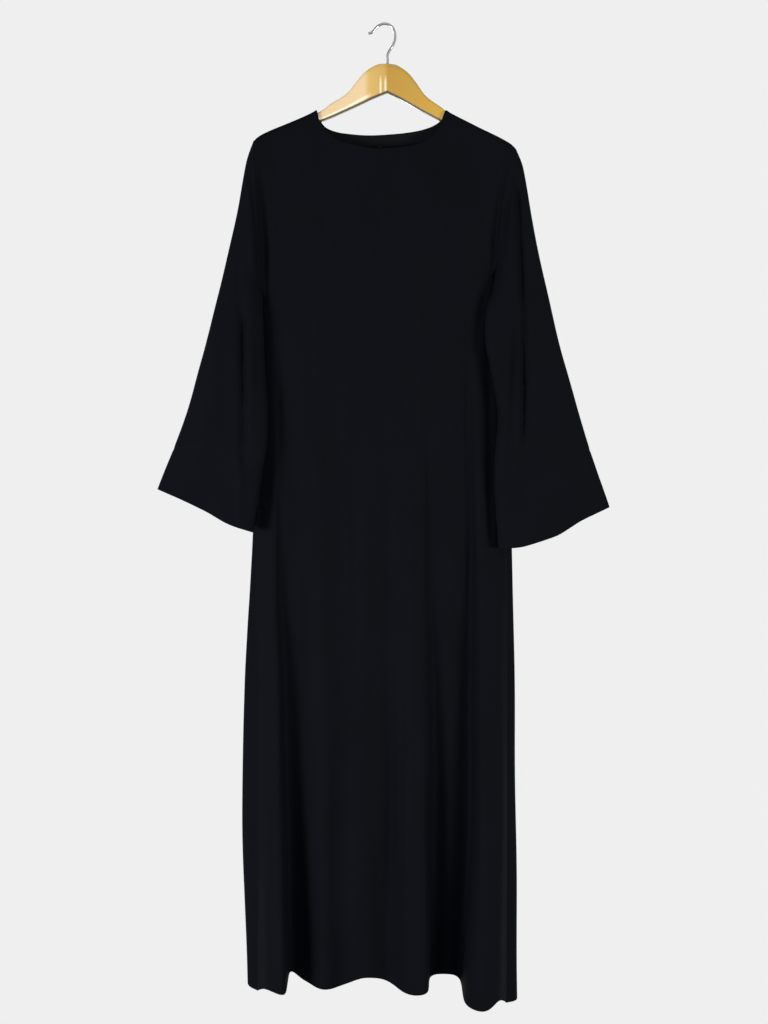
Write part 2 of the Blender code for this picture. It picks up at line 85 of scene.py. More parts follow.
def placeCamera():
    bpy.ops.object.camera_add(
        location=(view["across"], -view["distance"], view["level"]), rotation=(math.pi / 2, 0, 0)
    )
    camera = bpy.context.object
    camera.name = "front_camera"
    camera.data.sensor_fit = "VERTICAL"
    camera.data.sensor_height = view["sensor"]
    camera.data.lens = view["sensor"] * view["distance"] / view["height"]
    bpy.context.scene.camera = camera
    bpy.context.scene.view_settings.view_transform = "Standard"


def makeRoom():
    room = bpy.data.worlds.new("pale_room")
    room.use_nodes = True
    tree = room.node_tree
    way = addNode(tree, "ShaderNodeTexCoord").outputs["Generated"]
    rise = addNode(tree, "ShaderNodeSeparateXYZ", {"Vector": way}).outputs["Z"]
    steep = addNode(tree, "ShaderNodeMath", {0: rise}, operation="ABSOLUTE").outputs[0]
    begins, full = view["endsBetween"]
    share = addNode(
        tree, "ShaderNodeMapRange", {"Value": steep, "From Min": begins, "From Max": full}
    ).outputs["Result"]
    tone = addNode(
        tree,
        "ShaderNodeMix",
        {0: share, 6: linear(view["walls"]), 7: linear(view["ends"])},
        data_type="RGBA",
    )
    tree.links.new(tone.outputs[2], tree.nodes["Background"].inputs["Color"])
    bpy.context.scene.world = room


def hangLights():
    for name, (place, size, power, colour) in lights.items():
        aim = Vector(view["lightsAim"]) - Vector(place)
        bpy.ops.object.light_add(
            type="AREA", location=place, rotation=aim.to_track_quat("-Z", "Y").to_euler()
        )
        lamp = bpy.context.object
        lamp.name = name
        lamp.data.shape = "DISK"
        lamp.data.size = size
        lamp.data.energy = power
        lamp.data.color = linear(colour)[:3]


def layFloor():
    bpy.ops.mesh.primitive_circle_add(
        vertices=96, radius=floorDisc["radius"], fill_type="NGON", location=floorDisc["middle"]
    )
    floor = bpy.context.object
    floor.name = "floor"
    paint = bpy.data.materials.new("matt_floor_paint")
    paint.use_nodes = True
    tree = paint.node_tree
    where = addNode(tree, "ShaderNodeTexCoord").outputs["Object"]
    mottle = addNode(tree, "ShaderNodeTexNoise", {"Vector": where, "Scale": 3.0})
    tone = addNode(tree, "ShaderNodeValToRGB", {"Fac": mottle.outputs["Fac"]})
    for stop, colour in zip(tone.color_ramp.elements, floorDisc["paint"]):
        stop.color = linear(colour)
    shader = tree.nodes["Principled BSDF"]
    tree.links.new(tone.outputs["Color"], shader.inputs["Base Color"])
    shader.inputs["Roughness"].default_value = 0.9
    floor.data.materials.append(paint)
    bpy.ops.object.select_all(action="DESELECT")


placeCamera()
makeRoom()
hangLights()
layFloor()
print("view, lights and floor are set")

crepe = {
    "colour": "#06080B",
    "lighter": "#090B10",
    "thread": 1.1,  # mm; real crepe has about 0.4 mm, drawn coarser so that it shows
    "grain": 1.6,  # mm, the pebbles that the twisted yarn makes
    "relief": 0.16,  # mm
    "hemLine": 23.0,  # mm above the edge
    "hemPull": (1.2, 2.0),  # half the width that the stitches pull in, in mm, and how many reliefs deep
}
facing = {"colour": "#0A0B0C", "lighter": "#0E1011", "thread": 0.9, "grain": 2.4, "relief": 0.1}
woodLook = {
    # x in mm and colour there: the wood's own colour, with the left arm painted paler as a painted
    # reflection of the light in its varnish
    "along": (
        (-100, "#CAB085"),
        (-33, "#CDB184"),
        (-25, "#BD9A4E"),
        (-1, "#B38D3C"),
        (5, "#A1790C"),
        (50, "#A87F0E"),
        (100, "#B38A17"),
    ),
    "gleam": "#EBDFC4",  # the varnish gleams in two upright strokes below the hook
    "gleamAt": (-3.2, 3.9, 2.6),  # mm: their middle, how far each is from it, and half their width
    "gleamDown": (80, 92),  # mm down where they begin and where they are full
    "dark": "#6E4A16",
    "darkShare": 0.22,
    "grain": 2.2,  # mm between the grain's lines
    # painted shade: the arms' downward faces are painted dark brown where shade falls under them
    "underShade": "#33260F",
    "underFrom": (-0.2, -0.34),  # the surface's upward part where it begins and where it is full
    "edge": "#F1E6CE",  # the left arm's lower edge catches the light
    "edgeAt": (-0.11, 0.09),  # the upward part in its middle, and half its width
    "edgeFrom": (-20, -34),  # mm across where it begins and where it is full
}
chromeLook = {"colour": "#B4B6BA", "duller": "#A4A6AA", "roughness": 0.14}
threadLook = {"colour": "#0A0B0E", "twist": 0.5}
tackLook = {"colour": "#39403C", "twist": 0.5}


def newMaterial(name):
    made = bpy.data.materials.new(name)
    made.use_nodes = True
    return made, made.node_tree, made.node_tree.nodes["Principled BSDF"]


def distanceFrom(tree, value, middle):
    # How far a value is from the middle, to either side
    past = addNode(tree, "ShaderNodeMath", {0: value, 1: middle}, operation="SUBTRACT").outputs[0]
    return addNode(tree, "ShaderNodeMath", {0: past}, operation="ABSOLUTE").outputs[0]


def needleLine(tree, uv, hemLine):
    # The cloth is pulled in along the needle's line
    half, depth = crepe["hemPull"]
    above = addNode(tree, "ShaderNodeSeparateXYZ", {"Vector": uv}).outputs["Y"]
    away = distanceFrom(tree, above, hemLine * mm)
    return addNode(
        tree, "ShaderNodeMapRange", {"Value": away, "From Max": half * mm, "To Min": -depth, "To Max": 0.0}
    ).outputs["Result"]


def makeCrepe(name, look, hemLine=None):
    # Crepe: a matt black cloth of hard-twisted yarn, with a pebbly face that softens every highlight
    made, tree, shader = newMaterial(name)
    uv = addNode(tree, "ShaderNodeUVMap", uv_map="cloth").outputs["UV"]
    scale = math.pi / 10 / (look["thread"] * mm)
    warp, weft = (
        addNode(
            tree,
            "ShaderNodeTexWave",
            {"Vector": uv, "Scale": scale, "Distortion": 1.2},
            bands_direction=direction,
        ).outputs["Fac"]
        for direction in "XY"
    )
    weave = addNode(tree, "ShaderNodeMath", {0: warp, 1: weft}, operation="MULTIPLY").outputs[0]
    pebbles = addNode(
        tree,
        "ShaderNodeTexNoise",
        {"Vector": uv, "Scale": 1 / (look["grain"] * mm), "Detail": 3.0, "Roughness": 0.6},
    ).outputs["Fac"]
    height = addNode(tree, "ShaderNodeMath", {0: weave, 1: pebbles}, operation="ADD").outputs[0]
    if hemLine:
        pulled = needleLine(tree, uv, hemLine)
        height = addNode(tree, "ShaderNodeMath", {0: height, 1: pulled}, operation="ADD").outputs[0]
    bump = addNode(
        tree, "ShaderNodeBump", {"Height": height, "Strength": 0.5, "Distance": look["relief"] * mm}
    )
    patch = addNode(
        tree, "ShaderNodeTexNoise", {"Vector": uv, "Scale": 9.0, "Detail": 4.0, "Roughness": 0.55}
    )
    shade = addNode(
        tree,
        "ShaderNodeMath",
        {0: patch.outputs["Fac"], 1: pebbles, 2: 0.1},
        operation="MULTIPLY_ADD",
    )
    tone = addNode(tree, "ShaderNodeValToRGB", {"Fac": shade.outputs[0]})
    for stop, place, colour in zip(tone.color_ramp.elements, (0.15, 0.6), ("colour", "lighter")):
        stop.position = place
        stop.color = linear(look[colour])
    rough = addNode(
        tree, "ShaderNodeMapRange", {"Value": pebbles, "To Min": 0.62, "To Max": 0.82}
    ).outputs["Result"]
    tree.links.new(tone.outputs["Color"], shader.inputs["Base Color"])
    tree.links.new(rough, shader.inputs["Roughness"])
    tree.links.new(bump.outputs["Normal"], shader.inputs["Normal"])
    shader.inputs["Specular IOR Level"].default_value = 0.02
    shader.inputs["Sheen Weight"].default_value = 0.004
    shader.inputs["Sheen Roughness"].default_value = 0.45
    shader.inputs["Sheen Tint"].default_value = linear("#C8D2E6")
    return made


def woodGrain(tree, where):
    # Long fine lines along the arms, broken up by pores
    stretched = addNode(tree, "ShaderNodeMapping", {"Vector": where, "Scale": (0.05, 1, 1)}).outputs[0]
    lines = addNode(
        tree,
        "ShaderNodeTexWave",
        {
            "Vector": stretched,
            "Scale": math.pi / 10 / (woodLook["grain"] * mm),
            "Distortion": 5.0,
            "Detail": 3.0,
            "Detail Scale": 1.5,
        },
        bands_direction="Z",
    ).outputs["Fac"]
    pores = addNode(
        tree, "ShaderNodeTexNoise", {"Vector": stretched, "Scale": 900.0, "Detail": 3.0}
    ).outputs["Fac"]
    return addNode(tree, "ShaderNodeMath", {0: lines, 1: pores}, operation="MULTIPLY").outputs[0]


def woodToneAndLeftReflection(tree, across):
    # The wood's colour along the arms, with the left arm painted paler as a painted reflection in the
    # varnish
    places = woodLook["along"]
    first, last = places[0][0], places[-1][0]
    along = addNode(
        tree, "ShaderNodeMapRange", {"Value": across, "From Min": first * mm, "From Max": last * mm}
    ).outputs["Result"]
    body = addNode(tree, "ShaderNodeValToRGB", {"Fac": along})
    stops = body.color_ramp.elements
    while len(stops) < len(places):
        stops.new(0.5)
    for stop, (x, colour) in zip(stops, places):
        stop.position = (x - first) / (last - first)
        stop.color = linear(colour)
    return body.outputs["Color"]


def varnishGleam(tree, place, backward):
    # Two upright strokes on the front of the wood, below the hook
    middle, apart, half = (value * mm for value in woodLook["gleamAt"])
    near = distanceFrom(tree, distanceFrom(tree, place["X"], middle), apart)
    stroke = addNode(
        tree,
        "ShaderNodeMapRange",
        {"Value": near, "From Max": half, "To Min": 0.7, "To Max": 0.0},
        interpolation_type="SMOOTHSTEP",
    ).outputs["Result"]
    begins, full = (-down * mm for down in woodLook["gleamDown"])
    begun = addNode(
        tree, "ShaderNodeMapRange", {"Value": place["Z"], "From Min": begins, "From Max": full}
    ).outputs["Result"]
    low = addNode(tree, "ShaderNodeMath", {0: stroke, 1: begun}, operation="MULTIPLY").outputs[0]
    front = addNode(
        tree, "ShaderNodeMapRange", {"Value": backward, "From Min": 0.0, "From Max": -0.4}
    ).outputs["Result"]
    return addNode(tree, "ShaderNodeMath", {0: low, 1: front}, operation="MULTIPLY").outputs[0]


def paintUnderShade(tree, upward):
    # Painted shade: how much dark brown goes on faces that turn downwards, where shade falls
    begins, full = woodLook["underFrom"]
    return addNode(
        tree,
        "ShaderNodeMapRange",
        {"Value": upward, "From Min": begins, "From Max": full, "To Max": 0.92},
    ).outputs["Result"]


def brightEdge(tree, across, upward):
    # The lower edge of the left arm
    middle, half = woodLook["edgeAt"]
    off = distanceFrom(tree, upward, middle)
    line = addNode(
        tree, "ShaderNodeMapRange", {"Value": off, "From Max": half, "To Min": 1.0, "To Max": 0.0}
    ).outputs["Result"]
    begins, full = (x * mm for x in woodLook["edgeFrom"])
    onLeft = addNode(
        tree,
        "ShaderNodeMapRange",
        {"Value": across, "From Min": begins, "From Max": full, "To Max": 0.9},
    ).outputs["Result"]
    return addNode(tree, "ShaderNodeMath", {0: line, 1: onLeft}, operation="MULTIPLY").outputs[0]


def makeVarnishedWood():
    # Beech under a thick clear varnish: long fine grain below, a glassy coat above
    made, tree, shader = newMaterial("varnished_beech")
    where = addNode(tree, "ShaderNodeTexCoord").outputs["Object"]
    facingWay = addNode(tree, "ShaderNodeNewGeometry").outputs["Normal"]
    place = addNode(tree, "ShaderNodeSeparateXYZ", {"Vector": where}).outputs
    normal = addNode(tree, "ShaderNodeSeparateXYZ", {"Vector": facingWay}).outputs
    grain = woodGrain(tree, where)
    faint = addNode(
        tree, "ShaderNodeMath", {0: grain, 1: woodLook["darkShare"]}, operation="MULTIPLY"
    ).outputs[0]
    # The wood's colour, with a painted reflection that makes the left arm paler
    colour = woodToneAndLeftReflection(tree, place["X"])
    for name, share in (
        ("dark", faint),
        ("gleam", varnishGleam(tree, place, normal["Y"])),
        # painted shade on the downward faces
        ("underShade", paintUnderShade(tree, normal["Z"])),
        ("edge", brightEdge(tree, place["X"], normal["Z"])),
    ):
        colour = addNode(
            tree, "ShaderNodeMix", {0: share, 6: colour, 7: linear(woodLook[name])}, data_type="RGBA"
        ).outputs[2]
    bump = addNode(tree, "ShaderNodeBump", {"Height": grain, "Strength": 0.1, "Distance": 0.0001})
    rough = addNode(tree, "ShaderNodeMapRange", {"Value": grain, "To Min": 0.32, "To Max": 0.45})
    tree.links.new(colour, shader.inputs["Base Color"])
    tree.links.new(bump.outputs["Normal"], shader.inputs["Normal"])
    tree.links.new(rough.outputs["Result"], shader.inputs["Roughness"])
    shader.inputs["Coat Weight"].default_value = 1.0
    shader.inputs["Coat Roughness"].default_value = 0.06
    return made


def makeChrome():
    # Chrome-plated steel wire, bright, with a faint unevenness in the plating
    made, tree, shader = newMaterial("chrome_plated_wire")
    where = addNode(tree, "ShaderNodeTexCoord").outputs["Object"]
    uneven = addNode(tree, "ShaderNodeTexNoise", {"Vector": where, "Scale": 60.0, "Detail": 2.0})
    rough = addNode(
        tree,
        "ShaderNodeMapRange",
        {
            "Value": uneven.outputs["Fac"],
            "To Min": chromeLook["roughness"] * 0.8,
            "To Max": chromeLook["roughness"] * 1.3,
        },
    )
    tone = addNode(tree, "ShaderNodeValToRGB", {"Fac": uneven.outputs["Fac"]})
    for stop, place, colour in zip(tone.color_ramp.elements, (0.3, 0.7), ("duller", "colour")):
        stop.position = place
        stop.color = linear(chromeLook[colour])
    tree.links.new(tone.outputs["Color"], shader.inputs["Base Color"])
    tree.links.new(rough.outputs["Result"], shader.inputs["Roughness"])
    shader.inputs["Metallic"].default_value = 1.0
    return made


def makeThread(name, look):
    # Spun polyester sewing thread: a soft twist and a low shine
    made, tree, shader = newMaterial(name)
    where = addNode(tree, "ShaderNodeTexCoord").outputs["Object"]
    twist = addNode(
        tree,
        "ShaderNodeTexWave",
        {"Vector": where, "Scale": math.pi / 10 / (look["twist"] * mm)},
        bands_direction="DIAGONAL",
    ).outputs["Fac"]
    bump = addNode(tree, "ShaderNodeBump", {"Height": twist, "Strength": 0.5, "Distance": 0.0001})
    tone = addNode(tree, "ShaderNodeValToRGB", {"Fac": twist})
    dark = [c * 0.6 for c in linear(look["colour"])[:3]]
    tone.color_ramp.elements[0].color = (*dark, 1)
    tone.color_ramp.elements[1].color = linear(look["colour"])
    tree.links.new(tone.outputs["Color"], shader.inputs["Base Color"])
    tree.links.new(bump.outputs["Normal"], shader.inputs["Normal"])
    shader.inputs["Roughness"].default_value = 0.55
    shader.inputs["Specular IOR Level"].default_value = 0.1
    return made


hemmedCrepe = makeCrepe("black_crepe_with_hem", crepe, crepe["hemLine"])
blackCrepe = makeCrepe("black_crepe", crepe)
blackFacing = makeCrepe("black_facing_weave", facing)
varnishedBeech = makeVarnishedWood()
platedWire = makeChrome()
blackThread = makeThread("black_polyester_thread", threadLook)
greyThread = makeThread("grey_polyester_thread", tackLook)
print("finishes are made")


def curve(at, stations, values):
    # Smooth values between stations, level at each crest and with no overshoot
    stations = np.asarray(stations, float)
    values = np.asarray(values, float)
    gap = np.diff(stations)
    rise = np.diff(values) / gap
    slope = np.zeros_like(values)
    slope[0], slope[-1] = rise[0], rise[-1]
    before, after = rise[:-1], rise[1:]
    same = before * after > 0
    slope[1:-1][same] = 2 / (1 / before[same] + 1 / after[same])
    at = np.clip(at, stations[0], stations[-1])
    i = np.clip(np.searchsorted(stations, at, side="right") - 1, 0, len(gap) - 1)
    t = (at - stations[i]) / gap[i]
    ends = values[i] * (2 * t**3 - 3 * t**2 + 1) + values[i + 1] * (3 * t**2 - 2 * t**3)
    return ends + gap[i] * (slope[i] * (t**3 - 2 * t**2 + t) + slope[i + 1] * (t**3 - t**2))


def ease(t):
    t = np.clip(t, 0, 1)
    return t * t * (3 - 2 * t)


def growth(t):
    # A fold's depth on its way down: nothing at first, then nearly even, and 1 at the hem
    t = np.clip(t, 0, 1)
    return 1.15 * t * t / (t + 0.15)


def unit(vectors):
    return vectors / np.maximum(np.linalg.norm(vectors, axis=-1, keepdims=True), 1e-12)


def creaseHeight(across, down, creases):
    # Each crease: from (across, down) to (across, down), bow, height and half width. It fades over a
    # quarter of its length at each end, and is a little uneven on the way
    total = np.zeros_like(across)
    for x1, d1, x2, d2, bow, height, width in creases.values():
        length = math.hypot(x2 - x1, d2 - d1)
        alongX, alongD = (x2 - x1) / length, (d2 - d1) / length
        t = ((across - x1) * alongX + (down - d1) * alongD) / length
        inside = np.clip(t, 0, 1)
        off = (across - x1) * alongD - (down - d1) * alongX - bow * 4 * inside * (1 - inside)
        uneven = 1 + 0.15 * np.sin(9 * inside + x1)
        fade = ease(4 * np.minimum(inside, 1 - inside)) * uneven
        total += height * fade * np.exp(-((off / width) ** 2))
    return total


def looseness(across, down, waves):
    # Slow waves that keep the hanging cloth from looking pressed: lengths across and down, start, height
    total = np.zeros_like(across)
    for acrossLength, downLength, start, height in waves:
        total += height * np.sin(2 * math.pi * (across / acrossLength + down / downLength) + start)
    return total


def selectOnly(piece):
    bpy.ops.object.select_all(action="DESELECT")
    piece.select_set(True)
    bpy.context.view_layer.objects.active = piece


def clothPiece(name, grid, outward, look, nodeName, thickness, joined=False):
    # A thin cloth wall on a grid of points, with its own map in metres: v runs up from the lower edge
    rows, columns = grid.shape[:2]
    points = grid.reshape(-1, 3) * mm
    wide = columns if joined else columns - 1
    r, c = np.meshgrid(np.arange(rows - 1), np.arange(wide), indexing="ij")
    after = (c + 1) % columns
    here, below = r * columns, (r + 1) * columns
    quads = np.stack([here + c, here + after, below + after, below + c], -1).reshape(-1, 4)
    middle = (rows // 2) * wide + wide // 4
    a, b, d = (points[quads[middle][k]] for k in (0, 1, 3))
    turned = np.dot(np.cross(b - a, d - a), outward.reshape(-1, 3)[quads[middle][0]]) < 0
    stepAcross = np.linalg.norm(np.diff(grid[-1], axis=0, append=grid[-1][:1]), axis=1) * mm
    u = np.concatenate([[0], np.cumsum(stepAcross)])
    stepDown = np.linalg.norm(np.diff(grid, axis=0), axis=2) * mm
    v = np.vstack([np.cumsum(stepDown[::-1], axis=0)[::-1], np.zeros((1, columns))])
    mapU = np.stack([u[c], u[c + 1], u[c + 1], u[c]], -1).reshape(-1, 4)
    mapV = np.stack([v[r, c], v[r, after], v[r + 1, after], v[r + 1, c]], -1).reshape(-1, 4)
    if turned:
        quads, mapU, mapV = quads[:, ::-1], mapU[:, ::-1], mapV[:, ::-1]
    mesh = bpy.data.meshes.new(name)
    mesh.from_pydata(points.tolist(), [], quads.tolist())
    layer = mesh.uv_layers.new(name="cloth")
    layer.data.foreach_set("uv", np.stack([mapU, mapV], -1).ravel())
    mesh.materials.append(look)
    piece = bpy.data.objects.new(name, mesh)
    bpy.context.collection.objects.link(piece)
    selectOnly(piece)
    wall = piece.modifiers.new("wall", "SOLIDIFY")
    wall.thickness = thickness * mm
    wall.offset = -1
    bpy.ops.object.modifier_apply(modifier="wall")
    bpy.ops.object.shade_smooth_by_angle(angle=math.radians(60))
    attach(piece, "root")
    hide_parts(nodeName)
    return piece


hangerWood = {
    "tilt": math.radians(1.8),  # its right end hangs lower
    "centre": 6.0,
    "reach": 199.0,
    "forward": 22.0,  # how far the arms curve towards the viewer at their ends
    "bend": 1.7,
    "half": 6.2,
    "corners": (2.2, 5.0),  # how square the section is under the cloth, and in the bare middle
    "bare": 112.0,  # how far from the middle the wood is bare
    "cornersOver": 14,  # over how far its corners soften there
    "endFrom": 180,  # where the rings begin to lie closer together
    "rings": (61, 13),  # from the middle to there, and on to the end
    "endOver": 11.5,  # over how far the arms close to their ends
    "endBlunt": 0.6,  # how far beyond the ends they would close
    "across": (0, 12, 24, 36, 48, 60, 72, 84, 90, 96, 108, 124, 140, 156, 172, 188, 199),
    "top": (61.6, 62.7, 68.3, 77.8, 92.8, 109.3, 119.5, 127.2, 131.6)
    + (137.4, 144.8, 151.8, 159.8, 167.7, 175.6, 184.1, 192),
    "underAcross": (0, 22, 42, 65, 86, 104, 150, 199),
    "under": (107.6, 117.6, 128.2, 140.2, 150.8, 159, 178.5, 200.5),
    "sides": 40,
}

wireHook = {
    "wire": 4.0,
    "tip": 1.2,  # how far the wire's ends are rounded
    "across": (-25.9, -21, -17, -13.6, -7.9, 0.4, 8.8, 14.7, 16.8, 14.2, 8.8, 5.4, 6, 6),
    "down": (14.2, 12.8, 9.2, 4.6, 0.2, -2.0, 1, 8.6, 18.6, 30.2, 39.8, 48, 55, 61.3),
}


def onHanger(across, down):
    tilt = hangerWood["tilt"]
    x = across * math.cos(tilt) - down * math.sin(tilt)
    return x, across * math.sin(tilt) + down * math.cos(tilt)


def armMiddle(across):
    return -hangerWood["forward"] * (abs(across) / hangerWood["reach"]) ** hangerWood["bend"]


def makeArms():
    w = hangerWood
    reach, endFrom = w["reach"], w["endFrom"]
    main, end = w["rings"]
    toEnd = np.arange(1, end + 1) / end
    places = np.append(np.linspace(0, endFrom, main), reach - (reach - endFrom) * (1 - toEnd) ** 2)
    across = np.append(-places[::-1], places[1:])
    tops = curve(abs(across), w["across"], w["top"])
    lows = curve(abs(across), w["underAcross"], w["under"])
    size = np.sqrt(np.clip((reach + w["endBlunt"] - abs(across)) / w["endOver"], 0, 1))
    x, down = onHanger(w["centre"] + across, (tops + lows) / 2)
    middles = np.stack([x, armMiddle(across), -down], axis=1) * mm
    halves = np.stack([w["half"] * size, (lows - tops) / 2 * size], axis=1) * mm
    bpy.ops.mesh.primitive_circle_add(
        vertices=w["sides"], radius=mm, fill_type="NGON", rotation=(0, math.pi / 2, 0)
    )
    arms = bpy.context.object
    arms.name = "hanger_arms"
    bpy.ops.object.transform_apply(location=True, rotation=True, scale=True)
    bpy.ops.object.mode_set(mode="EDIT")
    bpy.ops.mesh.select_all(action="SELECT")
    lastMiddle, lastHalf = np.zeros(3), np.full(2, mm)
    for k, (middle, half) in enumerate(zip(middles, halves)):
        if k > 0:
            bpy.ops.mesh.extrude_region_move()
        bpy.ops.transform.translate(value=tuple(middle - lastMiddle))
        bpy.ops.transform.resize(value=(1, *(half / lastHalf)), center_override=tuple(middle))
        lastMiddle, lastHalf = middle, half
    bpy.ops.mesh.select_all(action="SELECT")
    bpy.ops.mesh.normals_make_consistent(inside=False)
    bpy.ops.object.mode_set(mode="OBJECT")
    # The circle becomes a rounded rectangle, squarer where the wood is bare
    soft, square = w["corners"]
    power = soft + (square - soft) * ease((w["bare"] - abs(across)) / w["cornersOver"])
    for point in arms.data.vertices:
        k = np.argmin(abs(middles[:, 0] - point.co.x))
        for axis in (1, 2):
            middle, half = middles[k, axis], halves[k, axis - 1]
            share = (point.co[axis] - middle) / half
            point.co[axis] = middle + math.copysign(abs(share) ** (2 / power[k]), share) * half
    bpy.ops.object.shade_smooth_by_angle(angle=math.radians(50))
    arms.data.materials.append(varnishedBeech)
    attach(arms, "root")
    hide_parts("hanger_wood")
    return arms


def layWire(name, points, thick, roundness):
    # A wire or a thread along a smooth line
    bpy.ops.curve.primitive_bezier_curve_add()
    wire = bpy.context.object
    wire.name = name
    spline = wire.data.splines[0]
    spline.bezier_points.add(len(points) - 2)
    for point, place in zip(spline.bezier_points, points):
        point.co = [p * mm for p in place]
        point.handle_left_type = point.handle_right_type = "AUTO"
    wire.data.bevel_depth = thick / 2 * mm
    wire.data.bevel_resolution = roundness
    wire.data.use_fill_caps = True
    return wire


def wireMesh(wire, look):
    selectOnly(wire)
    bpy.ops.object.transform_apply(location=True, rotation=True, scale=True)
    bpy.ops.object.convert(target="MESH")
    made = bpy.context.object
    made.data.materials.clear()
    made.data.materials.append(look)
    return made


def makeHook():
    line = [onHanger(*place) for place in zip(wireHook["across"], wireHook["down"])]
    hook = layWire("wire_hook", [(x, 0, -low) for x, low in line], wireHook["wire"], 6)
    spline = hook.data.splines[0]
    spline.resolution_u = 16
    for point in (spline.bezier_points[0], spline.bezier_points[-1]):
        point.handle_left_type = point.handle_right_type = "VECTOR"
    hook = wireMesh(hook, platedWire)
    bpy.ops.object.mode_set(mode="EDIT")
    bpy.ops.mesh.select_all(action="SELECT")
    bpy.ops.mesh.remove_doubles(threshold=0.00001)
    bpy.ops.mesh.normals_make_consistent(inside=False)
    bpy.ops.object.mode_set(mode="OBJECT")
    rim = hook.modifiers.new("rounded_tip", "BEVEL")
    rim.width = wireHook["tip"] * mm
    rim.segments = 3
    rim.limit_method = "ANGLE"
    rim.angle_limit = math.radians(60)
    bpy.ops.object.modifier_apply(modifier="rounded_tip")
    bpy.ops.object.shade_smooth_by_angle(angle=math.radians(60))
    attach(hook, "root")
    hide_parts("hook")


hangerArms = makeArms()
makeHook()
print("the hanger and its hook are made")

cloak = {
    "thickness": 0.7,
    "seamDip": 0.55,  # how far a seam is pulled in
    "dipBeside": (0.22, 20),  # half its width in folds at a side, and over how far below the top it begins
    "dipShoulder": (1.2, 0.5),  # half its width on the shoulder, and its share of the depth there
    "seamEdge": 1.3,  # how far the front's pressed edge stands proud beside the side seam
    "edgeAt": (0.3, 0.16),  # how many folds from the seam it is, and half its width
    "edgeBelow": (60, 200),  # how far below the chest it begins, and over how far it comes in
    "underarmFull": 4.2,  # how far the side stands out just below the underarm
    "fullBelow": (5, 11, 12),  # over how far it comes in, how far below it is most, and half its length
    "fullBeside": 0.8,  # over how many folds from the side it dies out
    "overArm": 9.5,  # radius of the cloth's turn over an arm
    "armholePull": 3,  # how many folds from the side an armhole's curve pulls the cloth across
    "armholeOpen": 1.3,  # how many folds from the side it holds the two panels apart
    "neck": (-109.0, 97.5),
    "neckRaise": 2.2,  # how far the cloth stands up at the neck's ends, and over how far it falls
    "neckRaiseReach": 7.0,
    "armholeWiden": 6.0,  # how far the panels stand apart at the armholes, beside the turn's radius
    "underarms": (434.0, 397.0),
    "hip": 821.0,  # how far down the folds' places are given
    "low": 1230.0,
    "chestFront": -22.0,
    "chestBack": 10.0,
    "seamChest": -6.0,
    "turnRows": 8,
    "chestRows": 52,
    "skirtRows": 96,
    "columnsEach": 4,  # columns for each one that the folds' table counts
    "spreadRows": 30,  # rows below the chest over which the columns spread evenly
    "softer": 7,  # passes that soften the folds
    "softBy": 0.6,  # how far each goes
    "softBelow": 260,  # over how far below the chest they come in
    "softBeside": 0.7,  # and over how many folds from the side
    "calmBeside": 0.9,  # how many folds from the side the creases and slack come in
    "calmBelow": (12, 60),  # how far below the top edge they begin, and over how far they come in
    "shoulderAcross": (0, 96, 116, 148, 180, 188, 196, 202, 208, 214),
    "shoulderDown": (92, 135.8, 145, 161, 176.8, 181.2, 186.2, 191.5, 199.3, 209),
    "armholes": {
        -1: ((245, 285, 345, 383, 411), (-203.7, -201.7, -198.3, -196.7, -194.3)),
        1: ((226, 252, 283, 318, 357, 380), (197.4, 189.7, 184.4, 180.8, 179.5, 176.6)),
    },
}

# Each fold: its place across at the shoulder, chest, hip, low and hem; its y at the hem; how far down
# it begins; how far down the hem is there; and the columns up to the next fold
foldKeys = ("top", "chest", "hip", "low", "hem", "y", "begins", "hemDown", "columns")
leftSeam = (-205.9, -192.1, -201.6, -202, -201.2, -12, 640, 1521.9, 2)
rightSeam = (205.1, 173, 192.1, 193, 191.6, -14, 600, 1540.4, 2)

